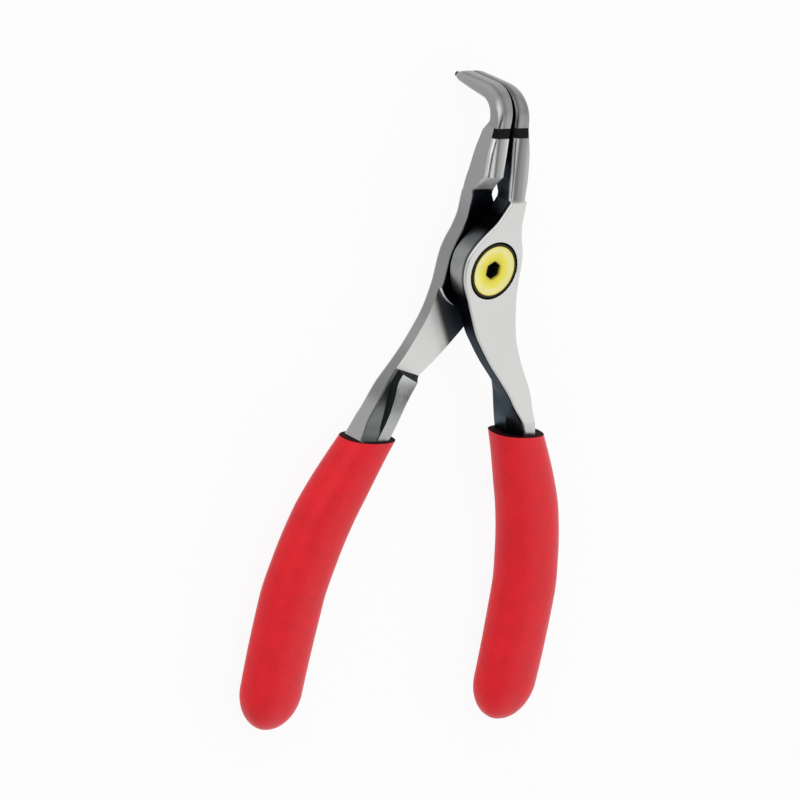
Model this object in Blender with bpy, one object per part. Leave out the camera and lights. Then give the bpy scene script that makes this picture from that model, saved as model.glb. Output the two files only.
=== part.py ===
"""Circlip pliers with bent tips: two forged limbs on a bolted pivot, with dipped grips and pressed-in tip pins.

Lengths are in millimetres here and become metres when a mesh is made. X runs across the tool, Y from the
pivot towards the nose and Z along the pivot axis. The modelling below counts heights from the lap plane,
where the two limbs meet; every object is then placed so that the part's origin is where the pivot axis
leaves the rear face.
"""

import math

import bmesh
import bpy
from mathutils import Vector

MM = 0.001

# Plates
LAP_GAP = 0.3
ARM_RELIEF = 1.35
FRONT_FACE = 6.2
REAR_FACE = -4.9
PAD_RADIUS = 9.65
REAR_PAD_RADIUS = 10.3
BOSS_RADIUS = 12.2
STEP_RADIUS = 33.1
STEP_DRAFT = 15.0
PLATE_ROUND = (0.5, 0.5)
LAP_EDGE = (0.3, 0.3)

# Jaws
PAD_END = 17.8
RAMP_START = 19.0
RAMP_END = 24.0
PAD_STEP = 1.0
PAD_STEP_LENGTH = 0.4
REAR_PAD_STEP = 0.4
JAW_ROOT_GAP = 2.4
JAW_BEND_GAP = 1.1
JAW_GAP = 0.36
JAW_ROOT_WIDTH = 6.1
JAW_ROOT_FRONT = 4.2
JAW_ROOT_BACK = -3.1
JAW_NOSE_WIDTH = 5.0
JAW_NOSE_THICKNESS = 4.8
JAW_END_WIDTH = 4.5
JAW_END_THICKNESS = 3.3
BACK_THINNING = 0.75
JAW_ROUND = (1.2, 1.0)
JAW_GAP_ROUND = (0.9, 0.8)
NOSE_ROUND_SHARE = 0.8
KNEE_LENGTH = 2.5
REAR_WEB = 1.4
REAR_FLARE = 1.0
NOSE_REACH = 45.8
BEND_RADIUS = 6.2
LEG_DEPTH = 17.8
TIP_LENGTH = 2.6
TIP_SHARE = 0.55
BAND_WIDTH = 2.5
BAND_DEPTH = 0.15
BAND_TO_BEND = 0.9
BAND_EDGE = 0.12

# Tip pins
PIN_DIAMETER = 1.3
PIN_OUT = 1.0
PIN_SEAT = 6.0
PIN_FIT = 0.12
PIN_OFFSET = 2.95

# Handles
SHANK_START = -24.0
SHANK_THIN_FROM = -41.0
SHANK_HEIGHT = 4.0
RIDGE_HEIGHT = 3.6
FLUTE_WALL = 0.3
GRIP_MOUTH = -45.4
GRIP_END = -122.5
GRIP_WIDTH = 18.0
GRIP_THICKNESS = 11.6
GRIP_MOUTH_SHARE = 0.88
GRIP_TAIL_SHARE = 0.95
GRIP_FULL_FROM = -64.0
GRIP_FULL_TO = -84.0
GRIP_END_LENGTH = 10.5
TANG_FULL_FROM = -58.0
TANG_BLEND = 12.0
TANG_END = -101.0
TANG_WIDTH = 8.6
TANG_END_WIDTH = 6.4
TANG_END_THICKNESS = 5.4
GRIP_FIT = 0.3

# Pivot
FIT = 0.15
SCREW_RADIUS = 3.0
SCREW_HEAD_HEIGHT = 0.9
HEX_ACROSS_FLATS = 4.0
HEX_DEPTH = 2.6
BUSH_WALL = 1.4
WASHER_ROOM = 0.6
WASHER_THICKNESS = 0.5
DISC_RADIUS = 7.1
DISC_SKIRT = 0.65
DISC_RING_GAP = 0.5
DISC_PROUD = 0.1
DISC_DISH = 0.45
DISC_THICKNESS = 0.95
DISC_HEX_MARGIN = 0.15
NUT_FLANGE_RADIUS = 6.4
NUT_FLANGE_HEIGHT = 1.9
NUT_BARREL_RADIUS = 4.6
SPANNER_HOLE_RADIUS = 0.7
SPANNER_HOLE_DEPTH = 1.1
SPRING_WIRE = 1.1
SPRING_RADIUS = 7.3
SPRING_TURNS = 1.75
SPRING_PITCH = 1.35
SPRING_LEG_SEAT = 0.7
SPRING_ROOM = 0.3
SPRING_START = 200.0

SEGMENTS = 48
ROUND_STEPS = 2
BEND_STEPS = 8
TANG_STEPS = 13
RELIEF_STEPS = 40
GRIP_STEPS = 16
GRIP_END_STEPS = 8
GRIP_SIDES = 28
STEEL = (0.62, 0.62, 0.6)
RED = (0.7, 0.03, 0.05)


def smooth(points):
    """Return a curve through (position, value) pairs that never swings past them."""
    places, values = zip(*sorted(points))
    steps = range(len(places) - 1)
    rates = [(values[i + 1] - values[i]) / (places[i + 1] - places[i]) for i in steps]
    middle = [0 if a * b <= 0 else 2 * a * b / (a + b) for a, b in zip(rates, rates[1:])]
    slopes = [rates[0], *middle, rates[-1]]

    def value(place):
        place = min(max(place, places[0]), places[-1])
        i = max(k for k in steps if places[k] <= place or k == 0)
        span = places[i + 1] - places[i]
        t = (place - places[i]) / span
        rise = values[i] * (1 + 2 * t) + slopes[i] * span * t
        fall = values[i + 1] * (3 - 2 * t) - slopes[i + 1] * span * (1 - t)
        return rise * (1 - t) ** 2 + fall * t**2

    return value


# The counterbore under the disc, and the radii of what lies in it
COUNTERBORE_RADIUS = DISC_RADIUS + DISC_RING_GAP
WASHER_RADIUS = COUNTERBORE_RADIUS - WASHER_ROOM
SCREW_HEAD_RADIUS = DISC_RADIUS - DISC_SKIRT - FIT

# Heights in the pivot's stack, from the disc's face down to the counterbore's floor
DISC_TOP = FRONT_FACE + DISC_PROUD
HEAD_TOP = DISC_TOP - DISC_THICKNESS - FIT
HEAD_BOTTOM = HEAD_TOP - SCREW_HEAD_HEIGHT
COUNTERBORE_FLOOR = HEAD_BOTTOM - 2 * FIT - WASHER_THICKNESS
NUT_TOP = -LAP_GAP / 2
SPRING_LEG_END = SPRING_TURNS * SPRING_PITCH / 2 + SPRING_WIRE / 2 + SPRING_ROOM + SPRING_LEG_SEAT

# Depth to which the limbs clear each other between boss and shank step, and the turn they clear
RELIEF_DEPTH = SHANK_HEIGHT + 3.0
RELIEF_TURN = (-172.0, -8.0)

# Where the straight jaw gives way to the bend, and the line of the bent leg
BEND_START = NOSE_REACH - JAW_NOSE_THICKNESS / 2 - BEND_RADIUS
BAND_END = BEND_START - BAND_TO_BEND
BAND_START = BAND_END - BAND_WIDTH
LEG_Y = BEND_START + BEND_RADIUS
PIN_Y = LEG_Y + (JAW_NOSE_THICKNESS - JAW_END_THICKNESS) * (BACK_THINNING - 0.5)

# Middle of a handle and half its size, by distance along the tool
grip_middle = smooth([
    (GRIP_MOUTH, 25.1), (-50.5, 27.7), (-58.0, 31.2), (-66.2, 34.5), (-77.0, 37.4),
    (-88.2, 39.2), (-105.4, 39.6), (GRIP_END, 39.3),
])

# Edges of the plate's front face: the inner edge crosses the tool's middle round the pivot
plate_inner = smooth([
    (PAD_END, 1.25), (12.8, -1.7), (9.15, -5.3), (6.0, -8.0), (3.0, -9.45), (0.6, -PAD_RADIUS),
    (-1.8, -9.35), (-4.3, -8.45), (-8.1, -6.3), (-12.3, -4.0), (-17.5, -0.9), (-20.4, 1.5),
    (-25.3, 5.9), (-29.9, 10.7), (-34.1, 14.9), (-37.5, 17.7), (-41.3, 21.4), (GRIP_MOUTH, 24.4),
    (-50.5, 25.6), (-60.0, 29.2),
])
plate_outer = smooth([
    (PAD_END, 6.5), (13.1, 6.5), (8.8, 7.2), (5.5, 8.4), (2.5, 9.1), (-0.5, 9.3), (-4.6, 9.5),
    (-8.6, 10.1), (-14.1, 11.4), (-17.7, 12.5), (-22.6, 14.8), (-26.7, 17.3), (-32.6, 21.2),
    (-39.8, 24.6), (GRIP_MOUTH, 28.4), (-50.5, 31.6), (-60.0, 35.7),
])
# Inner edge of the shank's ridge, how far in from the outer edge the flute runs, and their heights
ridge_inner = smooth([(-26.0, 12.4), (-29.0, 14.6), (-32.0, 16.0), (-36.0, 17.6), (-40.0, 18.9),
                      (GRIP_MOUTH, 20.9), (-50.5, 23.6), (-60.0, 28.5)])
flute_inset = smooth([(-24.0, 0.7), (-30.0, 0.85), (-34.0, 2.0), (-40.0, 2.7), (GRIP_MOUTH, 4.3)])
ridge_height = smooth([(-28.0, -1.2), (-30.0, -1.5), (-34.0, -2.4), (-38.5, -3.3), (-41.0, -RIDGE_HEIGHT)])
flute_height = smooth([(-28.0, 0.9), (-30.0, 0.7), (-34.0, 0.0), (-40.0, -1.9), (-42.0, -2.6),
                       (-43.2, -3.3), (GRIP_MOUTH, -RIDGE_HEIGHT)])
land_height = smooth([(-28.0, 1.1), (-30.0, 0.9), (-34.0, 0.2), (-40.0, -0.1), (GRIP_MOUTH, -2.4),
                      (-50.5, -3.0)])
# Half the gap between the jaws, and how wide each jaw is
jaw_half_gap = smooth([(PAD_END, 1.25), (RAMP_END, JAW_ROOT_GAP / 2), (30.0, JAW_ROOT_GAP / 2 - 0.35),
                       (BEND_START, JAW_BEND_GAP / 2)])
jaw_width = smooth([(PAD_END, 5.25), (RAMP_END, JAW_ROOT_WIDTH), (29.0, JAW_ROOT_WIDTH),
                    (33.0, JAW_NOSE_WIDTH + 0.6), (BEND_START, JAW_NOSE_WIDTH)])


def slanted(points):
    """Return straight runs through (position, value) pairs."""
    def value(place):
        before = max((p for p in points if p[0] <= place), default=min(points))
        after = min((p for p in points if p[0] > place), default=max(points))
        if before[0] == after[0]:
            return before[1]
        return before[1] + (after[1] - before[1]) * (place - before[0]) / (after[0] - before[0])

    return value


# What the rear limb has more than the front one: a web at the foot of its ramp and a fuller outer edge
rear_web = slanted([(9.0, 0.0), (13.0, REAR_WEB), (RAMP_START, REAR_WEB), (RAMP_START + 3.0, 0.0)])
rear_flare = smooth([(BOSS_RADIUS, 0.0), (0.0, REAR_PAD_RADIUS - PAD_RADIUS), (-BOSS_RADIUS, 0.4),
                     (-20.0, REAR_FLARE), (GRIP_MOUTH, REAR_FLARE), (-52.0, 0.3), (-60.0, 0.0)])


def rounded(x, z, dx, dz):
    """Quarter of an ellipse over the corner (x, z), from the wall to the face; dx and dz point inwards."""
    turns = [math.pi / 2 * k / ROUND_STEPS for k in range(ROUND_STEPS + 1)]
    return [(x + dx * (1 - math.cos(a)), z + dz * (1 - math.sin(a))) for a in turns]


def ring(front_outer, front_inner, waist, back_inner, hind, back_outer):
    """Section from four corners, each (x, z, rounding), the inner wall's waist and the points of the back."""
    x, z, (dx, dz) = front_outer
    points = rounded(x, z, -dx, -dz)
    x, z, (dx, dz) = front_inner
    points += rounded(x, z, dx, -dz)[::-1]
    x, z, (dx, dz) = back_inner
    points += [waist, *rounded(x, z, dx, dz), *hind]
    x, z, (dx, dz) = back_outer
    return points + rounded(x, z, -dx, dz)[::-1]


def mix(one, two, share):
    return tuple(a + (b - a) * share for a, b in zip(one, two))


class Limb:
    """One forged limb, described as the front one; side -1 turns it about Y into the rear one."""

    def __init__(self, side, face):
        self.side = side
        self.face = face

    def inner(self, y):
        edge = plate_inner(y) if y <= PAD_END else jaw_half_gap(y)
        return edge if self.side > 0 else edge - rear_web(y)

    def outer(self, y):
        return plate_outer(y) if self.side > 0 else plate_outer(y) + rear_flare(y)

    def section(self, y):
        """Ring of (x, z) corners of the forging across the tool at distance y."""
        if y > PAD_END:
            return self.jaw(y)
        if y > SHANK_START:
            return self.box(self.inner(y), self.outer(y), self.face, LAP_GAP / 2,
                            (PLATE_ROUND, PLATE_ROUND, LAP_EDGE, LAP_EDGE))
        return self.shank(y) if y >= GRIP_MOUTH else self.tang(y)

    def box(self, inner, outer, front, back, rounds):
        """Section with four rounded corners: outer and inner front, inner and outer back."""
        waist = ARM_RELIEF if back < ARM_RELIEF < front - rounds[1][1] else (front + back) / 2
        low, high = inner + rounds[2][0], outer - rounds[3][0]
        hind = [(low + (high - low) * share, back) for share in (1 / 3, 2 / 3)]
        return ring((outer, front, rounds[0]), (inner, front, rounds[1]), (inner, waist),
                    (inner, back, rounds[2]), hind, (outer, back, rounds[3]))

    def jaw(self, y):
        """Both jaws lie alike, so the rear limb's front and back change places."""
        lap = LAP_GAP / 2
        nose = JAW_NOSE_THICKNESS / 2
        outer = jaw_half_gap(y) + jaw_width(y)
        if self.side > 0:
            front = slanted([(PAD_END, self.face), (PAD_END + PAD_STEP_LENGTH, self.face - PAD_STEP),
                             (RAMP_END, JAW_ROOT_FRONT), (BEND_START, nose)])(y)
            back = slanted([(RAMP_START, lap), (RAMP_END, JAW_ROOT_BACK), (BEND_START, -nose)])(y)
        else:
            front = slanted([(RAMP_START, -lap), (RAMP_END, JAW_ROOT_FRONT), (BEND_START, nose)])(y)
            back = slanted([(PAD_END, -self.face), (PAD_END + PAD_STEP_LENGTH, REAR_PAD_STEP - self.face),
                            (RAMP_END, JAW_ROOT_BACK), (BEND_START, -nose)])(y)
        if BAND_START <= y <= BAND_END:
            front -= BAND_DEPTH
        share = min(1.0, (y - PAD_END) / (RAMP_END - PAD_END))
        knee = max(0.0, 1 - (BEND_START - y) / KNEE_LENGTH)
        full = (NOSE_ROUND_SHARE * JAW_NOSE_WIDTH, NOSE_ROUND_SHARE * nose)
        back_round = mix(mix(LAP_EDGE, PLATE_ROUND, share), full, knee)
        return self.lying(self.inner(y), outer, front, back, mix(PLATE_ROUND, JAW_ROUND, share),
                          mix(PLATE_ROUND, JAW_GAP_ROUND, share), back_round)

    def lying(self, inner, outer, front, back, outer_round, gap_round, back_round):
        """A jaw's section, given as it lies in the tool, in the limb's own sense of front and back."""
        if self.side > 0:
            return self.box(inner, outer, front, back, (outer_round, gap_round, LAP_EDGE, back_round))
        return self.box(inner, outer, -back, -front, (back_round, LAP_EDGE, gap_round, outer_round))

    def nose(self, share):
        """Section square to the bent nose; share runs from 0 where the bend starts to 1 at the end."""
        start, end = JAW_BEND_GAP / 2 + JAW_NOSE_WIDTH, JAW_GAP / 2 + JAW_END_WIDTH
        outer = start + (end - start) * share**1.6
        closed = min(1.0, share / 0.4)
        inner = (JAW_BEND_GAP + (JAW_GAP - JAW_BEND_GAP) * closed) / 2
        thinner = (JAW_NOSE_THICKNESS - JAW_END_THICKNESS) * share**2
        front = JAW_NOSE_THICKNESS / 2 - (1 - BACK_THINNING) * thinner
        back = BACK_THINNING * thinner - JAW_NOSE_THICKNESS / 2
        full = (NOSE_ROUND_SHARE * (outer - inner), NOSE_ROUND_SHARE * (front - back) / 2)
        return self.lying(inner, outer, front, back, mix(JAW_ROUND, full, closed),
                          mix(JAW_GAP_ROUND, LAP_EDGE, closed), full)

    def shank(self, y):
        """The full-height shank: a ridge along its inner side, and a flute between that and the outer land."""
        inner, ridge, outer = plate_inner(y), ridge_inner(y), self.outer(y)
        line = outer - flute_inset(y)
        front = slanted([(GRIP_MOUTH, SHANK_HEIGHT), (SHANK_THIN_FROM, self.face)])(y)
        hind = [(max(line - FLUTE_WALL / 2, ridge + 2 * LAP_EDGE[0]), max(ridge_height(y), -RIDGE_HEIGHT)),
                (line + FLUTE_WALL / 2, flute_height(y))]
        return ring((outer, front, PLATE_ROUND), (inner, front, PLATE_ROUND), (min(inner, ridge), ARM_RELIEF),
                    (ridge, -RIDGE_HEIGHT, LAP_EDGE), hind, (outer, land_height(y), LAP_EDGE))

    def tang(self, y):
        """The bar inside the grip, from the shank's section at the mouth to a plain one."""
        half = slanted([(TANG_END, TANG_END_WIDTH / 2), (TANG_FULL_FROM, TANG_WIDTH / 2)])(y)
        blend = min(1.0, (GRIP_MOUTH - y) / TANG_BLEND)
        middle = grip_middle(y)
        inner, ridge, outer = mix((plate_inner(y), ridge_inner(y), self.outer(y)),
                                  (middle - half, middle - half, middle + half), blend)
        front = slanted([(TANG_END, TANG_END_THICKNESS / 2), (GRIP_MOUTH, SHANK_HEIGHT)])(y)
        back = -min(front, RIDGE_HEIGHT)
        hind = [(ridge + (outer - ridge) * share, back) for share in (1 / 3, 2 / 3)]
        return ring((outer, front, PLATE_ROUND), (inner, front, PLATE_ROUND), (min(inner, ridge), ARM_RELIEF),
                    (ridge, back, LAP_EDGE), hind, (outer, back, LAP_EDGE))


def new_mesh(name, bm, colour, roughness, metallic, smooth_angle=35.0):
    """Turn a bmesh in millimetres into a placed object with its own material."""
    bmesh.ops.remove_doubles(bm, verts=bm.verts, dist=1e-5)
    bmesh.ops.recalc_face_normals(bm, faces=bm.faces)
    bmesh.ops.scale(bm, vec=(MM, MM, MM), verts=bm.verts)
    mesh = bpy.data.meshes.new(name)
    bm.to_mesh(mesh)
    bm.free()
    mesh.shade_smooth()
    mesh.set_sharp_from_angle(angle=math.radians(smooth_angle))
    item = bpy.data.objects.new(name, mesh)
    item.location = (0, 0, -REAR_FACE * MM)
    bpy.context.collection.objects.link(item)
    finish = bpy.data.materials.new(name)
    finish.use_nodes = True
    shader = finish.node_tree.nodes["Principled BSDF"]
    shader.inputs["Base Color"].default_value = (*colour, 1)
    shader.inputs["Roughness"].default_value = roughness
    shader.inputs["Metallic"].default_value = metallic
    mesh.materials.append(finish)
    return item


def loft(bm, rings, cap_start=True, cap_end=True):
    """Skin a row of rings of points; returns the rings' vertices."""
    made = [[bm.verts.new(p) for p in ring] for ring in rings]
    for one, two in zip(made, made[1:]):
        for i in range(len(one)):
            j = (i + 1) % len(one)
            bm.faces.new((one[i], one[j], two[j], two[i]))
    if cap_start:
        bm.faces.new(made[0])
    if cap_end:
        bm.faces.new(made[-1])
    return made


def circle(radius, z, segments=SEGMENTS, x=0.0, y=0.0):
    """Points of a circle, each half a step round, so that no corner lies on an axis."""
    turn = [2 * math.pi * (k + 0.5) / segments for k in range(segments)]
    return [(x + radius * math.cos(a), y + radius * math.sin(a), z) for a in turn]


def revolve(bm, profile, segments=SEGMENTS):
    """Turn a closed (radius, height) profile about the pivot axis."""
    rings = [list(ring) for ring in zip(*(circle(r, z, segments) for r, z in profile))]
    loft(bm, [*rings, rings[0]], False, False)


def cutter(bm):
    """A hidden solid that a Boolean takes away."""
    item = new_mesh("cutter", bm, (1, 0, 0), 0.5, 0)
    item.hide_render = True
    item.display_type = "WIRE"
    return item


def cut(item, *tools):
    for tool in tools:
        step = item.modifiers.new("cut", "BOOLEAN")
        step.object = tool
        step.operation = "DIFFERENCE"
        step.solver = "EXACT"


def round_cutter(radius, low, high, x=0.0, y=0.0, segments=SEGMENTS):
    bm = bmesh.new()
    loft(bm, [circle(radius, z, segments, x, y) for z in (low, high)])
    return cutter(bm)


def ring_cutter(inner, outer, low, high):
    bm = bmesh.new()
    revolve(bm, [(inner, low), (outer, low), (outer, high), (inner, high)])
    return cutter(bm)


def relief_cutter(side):
    """The space swept by the other limb: half a ring between the boss and the step of the shank."""
    bm = bmesh.new()
    rings = []
    floor, opening = side * ARM_RELIEF, -side * RELIEF_DEPTH
    flare = math.tan(math.radians(STEP_DRAFT)) * (RELIEF_DEPTH + ARM_RELIEF)
    first, last = RELIEF_TURN
    for k in range(RELIEF_STEPS + 1):
        angle = math.radians(first + (last - first) * k / RELIEF_STEPS)
        c, s = math.cos(angle), math.sin(angle)
        rings.append([(r * c, r * s, z) for r, z in
                      ((BOSS_RADIUS, floor), (STEP_RADIUS, floor), (STEP_RADIUS + flare, opening),
                       (BOSS_RADIUS, opening))])
    loft(bm, rings)
    return cutter(bm)


def tang_stations():
    """Distances along the tang, closer together near the mouth of the grip where its section changes."""
    length = GRIP_MOUTH - TANG_END - 0.05
    return [TANG_END + length * math.sin(math.pi / 2 * k / TANG_STEPS) for k in range(TANG_STEPS + 1)]


def straight_stations():
    """Distances along the tool at which the forging is sectioned, up to the bend."""
    shank = [GRIP_MOUTH, -44.4, -43.4, -42.4, SHANK_THIN_FROM, -39.5, -38.0, -36.0, -34.0, -32.0, -30.5, -29.0,
             -27.5, -26.0, SHANK_START]
    plate = [y for y in (SHANK_START + 0.1 + 1.8 * k for k in range(24)) if y < PAD_END - 0.8]
    jaw = [PAD_END, PAD_END + PAD_STEP_LENGTH, RAMP_START, RAMP_END, 27.0, 29.0, 31.0,
           BAND_START - BAND_EDGE, BAND_START, BEND_START - KNEE_LENGTH, BEND_START - KNEE_LENGTH / 2, BAND_END,
           BAND_END + BAND_EDGE]
    return tang_stations() + shank + plate + jaw


def limb_rings(limb):
    """Rings of the whole forging, from the end of the tang, round the bend, to the end of the leg."""
    rings = [[(x, y, z) for x, z in limb.section(y)] for y in straight_stations()]
    side = limb.side
    arc = BEND_RADIUS * math.pi / 2
    leg = LEG_DEPTH - TIP_LENGTH - BEND_RADIUS
    for k in range(BEND_STEPS + 1):
        angle = math.pi / 2 * k / BEND_STEPS
        section = limb.nose(arc * k / BEND_STEPS / (arc + leg))
        rings.append([(x, BEND_START + (BEND_RADIUS + side * z) * math.sin(angle),
                       side * ((BEND_RADIUS + side * z) * math.cos(angle) - BEND_RADIUS)) for x, z in section])
    end = limb.nose(1.0)
    for down in (0.35, 0.7, 1.0):
        section = limb.nose((arc + leg * down) / (arc + leg))
        rings.append([(x, LEG_Y + side * z, -side * (BEND_RADIUS + leg * down)) for x, z in section])
    for down in (0.35, 0.65, 0.85, 1.0):
        share = 1 - (1 - TIP_SHARE) * down**2
        rings.append([(PIN_OFFSET + (x - PIN_OFFSET) * share, PIN_Y + (LEG_Y + side * z - PIN_Y) * share,
                       -side * (LEG_DEPTH - TIP_LENGTH * (1 - down))) for x, z in end])
    return rings


def make_limb(name, limb, tools):
    """The forging as lofted, turned about Y for the rear limb, less the machined places."""
    bm = bmesh.new()
    side = limb.side
    loft(bm, [[(side * x, y, side * z) for x, y, z in ring] for ring in limb_rings(limb)])
    item = new_mesh(name, bm, STEEL, 0.35, 0.9)
    cut(item, *tools)
    return item


def superellipse(middle, y, half_x, half_z, count, power=2.4):
    ring = []
    for k in range(count):
        angle = 2 * math.pi * k / count
        c, s = math.cos(angle), math.sin(angle)
        ring.append((middle + half_x * math.copysign(abs(c) ** (2 / power), c), y,
                     half_z * math.copysign(abs(s) ** (2 / power), s)))
    return ring


def grip_share(y):
    """Size of the grip's section at y as a share of its full size."""
    along = slanted([(GRIP_END, GRIP_TAIL_SHARE), (GRIP_FULL_TO, 1.0), (GRIP_FULL_FROM, 1.0),
                     (GRIP_MOUTH, GRIP_MOUTH_SHARE)])(y)
    into_end = (GRIP_END + GRIP_END_LENGTH - y) / GRIP_END_LENGTH
    return along * math.sqrt(max(0.0, 1 - into_end**2)) if into_end > 0 else along


def make_grip(name, limb):
    """A dipped sleeve with a rounded end and a blind hole that fits the tang."""
    side = limb.side
    length = GRIP_MOUTH - GRIP_END - GRIP_END_LENGTH
    stations = [GRIP_MOUTH - length * k / GRIP_STEPS for k in range(GRIP_STEPS + 1)]
    stations += [GRIP_END + GRIP_END_LENGTH * (1 - math.sin(math.pi / 2 * k / GRIP_END_STEPS))
                 for k in range(1, GRIP_END_STEPS)]
    stations.append(GRIP_END + 0.02)
    rings = []
    for y in stations:
        slope = (grip_middle(y + 0.5) - grip_middle(y - 0.5))
        share = grip_share(y)
        rings.append(superellipse(side * grip_middle(y), y, GRIP_WIDTH / 2 * share * math.hypot(1, slope),
                                  GRIP_THICKNESS / 2 * share, GRIP_SIDES))
    bm = bmesh.new()
    loft(bm, rings)
    item = new_mesh(name, bm, RED, 0.45, 0.0, 60.0)
    hole = []
    places = tang_stations()[::-1]
    for k, y in enumerate([GRIP_MOUTH + 1.0, *places, TANG_END - GRIP_FIT]):
        at = places[0] if k == 0 else max(y, TANG_END)
        section = limb.section(at)
        low, high = min(x for x, z in section), max(x for x, z in section)
        middle, wide = (low + high) / 2, 1 + 2 * GRIP_FIT / (high - low)
        tall = 1 + GRIP_FIT / max(z for x, z in section)
        hole.append([(side * (middle + (x - middle) * wide), y, side * z * tall) for x, z in section])
    bm = bmesh.new()
    loft(bm, hole)
    cut(item, cutter(bm))
    return item


def stack(bm, steps, segments=SEGMENTS, x=0.0, y=0.0):
    """A solid of circles on one axis, from (radius, height) steps."""
    loft(bm, [circle(radius, z, segments, x, y) for radius, z in steps])


def make_pin(name, side):
    """A hardened wire tip pressed into the end of the leg, its free end broken with a small chamfer."""
    bm = bmesh.new()
    radius = PIN_DIAMETER / 2
    end = -LEG_DEPTH - PIN_OUT
    stack(bm, [(radius - 0.12, end), (radius, end + 0.15), (radius, -LEG_DEPTH + PIN_SEAT)], 16,
          side * PIN_OFFSET, PIN_Y)
    return new_mesh(name, bm, (0.08, 0.08, 0.08), 0.4, 0.8)


def hex_cutter(across_flats, low, high):
    bm = bmesh.new()
    loft(bm, [circle(across_flats / math.sqrt(3), z, 6) for z in (low, high)])
    return cutter(bm)


def make_screw():
    bm = bmesh.new()
    stack(bm, [(SCREW_RADIUS - 0.3, REAR_FACE), (SCREW_RADIUS, REAR_FACE + 0.3), (SCREW_RADIUS, HEAD_BOTTOM),
               (SCREW_HEAD_RADIUS, HEAD_BOTTOM), (SCREW_HEAD_RADIUS, HEAD_TOP)])
    item = new_mesh("pivot_screw", bm, (0.12, 0.12, 0.12), 0.4, 0.9)
    cut(item, hex_cutter(HEX_ACROSS_FLATS, HEAD_TOP - HEX_DEPTH, HEAD_TOP + 1.0))
    return item


def make_disc():
    """The coloured cap over the screw head: a skirt round the head and a dished face with a hexagon hole."""
    bm = bmesh.new()
    skirt = SCREW_HEAD_RADIUS + FIT
    top = DISC_TOP
    bottom = HEAD_TOP + FIT
    dish = [(1.0, top - DISC_DISH), (DISC_RADIUS * 0.5, top - DISC_DISH * 0.93),
            (DISC_RADIUS * 0.72, top - DISC_DISH * 0.62), (DISC_RADIUS * 0.84, top - 0.03),
            (DISC_RADIUS * 0.88, top), (DISC_RADIUS - 0.15, top), (DISC_RADIUS, top - 0.15)]
    revolve(bm, [*dish, (DISC_RADIUS, HEAD_BOTTOM + 0.1), (skirt, HEAD_BOTTOM + 0.1), (skirt, bottom),
                 (1.0, bottom)])
    item = new_mesh("colour_disc", bm, (0.9, 0.75, 0.1), 0.4, 0.0)
    cut(item, hex_cutter(HEX_ACROSS_FLATS + 2 * DISC_HEX_MARGIN, bottom - 1.0, top + 1.0))
    return item


def make_ring(name, inner, outer, low, high, colour):
    bm = bmesh.new()
    revolve(bm, [(inner, low), (outer, low), (outer, high), (inner, high)])
    return new_mesh(name, bm, colour, 0.4, 0.9)


def make_nut():
    """The threaded collar that the screw pulls into the back of the rear limb."""
    bm = bmesh.new()
    hole = SCREW_RADIUS + FIT
    step = REAR_FACE + NUT_FLANGE_HEIGHT
    revolve(bm, [(hole, REAR_FACE), (NUT_FLANGE_RADIUS - 0.2, REAR_FACE), (NUT_FLANGE_RADIUS, REAR_FACE + 0.2),
                 (NUT_FLANGE_RADIUS, step), (NUT_BARREL_RADIUS, step), (NUT_BARREL_RADIUS, NUT_TOP),
                 (hole, NUT_TOP)])
    item = new_mesh("pivot_nut", bm, (0.5, 0.5, 0.5), 0.4, 0.9)
    middle = (hole + NUT_FLANGE_RADIUS) / 2
    low, high = REAR_FACE - 1.0, REAR_FACE + SPANNER_HOLE_DEPTH
    for x in (-middle, middle):
        cut(item, round_cutter(SPANNER_HOLE_RADIUS, low, high, x, 0.0, 16))
    return item


def make_spring():
    """The return spring: a torsion coil across the lap plane with a leg into each limb."""
    half_rise = SPRING_TURNS * SPRING_PITCH / 2
    turns = round(SPRING_TURNS * 20)
    path = [(0.0, SPRING_LEG_END), (0.0, half_rise + SPRING_WIRE * 0.45)]
    path += [(SPRING_TURNS * 2 * math.pi * (k + 0.5) / turns, half_rise * (1 - 2 * (k + 0.5) / turns))
             for k in range(turns)]
    path += [(SPRING_TURNS * 2 * math.pi, -half_rise - SPRING_WIRE * 0.45),
             (SPRING_TURNS * 2 * math.pi, -SPRING_LEG_END)]
    start = math.radians(SPRING_START)
    points = [Vector((SPRING_RADIUS * math.cos(start + a), SPRING_RADIUS * math.sin(start + a), z)) for a, z in path]
    rings = []
    for k, point in enumerate(points):
        tangent = (points[min(k + 1, len(points) - 1)] - points[max(k - 1, 0)]).normalized()
        outward = Vector((point.x, point.y, 0)).normalized()
        side = tangent.cross(outward).normalized()
        turn = [2 * math.pi * j / 8 for j in range(8)]
        rings.append([point + (outward * math.cos(a) + side * math.sin(a)) * (SPRING_WIRE / 2) for a in turn])
    bm = bmesh.new()
    loft(bm, rings)
    return new_mesh("return_spring", bm, (0.35, 0.35, 0.36), 0.4, 0.9)


def leg_hole(angle, side):
    """The blind hole in a limb that takes a leg of the spring."""
    low, high = sorted((side * 1.0, side * (SPRING_LEG_END + 0.2)))
    return round_cutter(SPRING_WIRE / 2 + FIT, low, high, SPRING_RADIUS * math.cos(angle),
                        SPRING_RADIUS * math.sin(angle), 16)


def spring_groove(side):
    low, high = sorted((-side * 1.0, side * (SPRING_LEG_END - SPRING_LEG_SEAT)))
    return ring_cutter(SPRING_RADIUS - SPRING_WIRE / 2 - SPRING_ROOM, SPRING_RADIUS + SPRING_WIRE / 2 + SPRING_ROOM,
                       low, high)


def pin_hole(side):
    return round_cutter(PIN_DIAMETER / 2 + PIN_FIT, -LEG_DEPTH - 1.0, -LEG_DEPTH + PIN_SEAT + PIN_FIT,
                        side * PIN_OFFSET, PIN_Y, 16)


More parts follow.
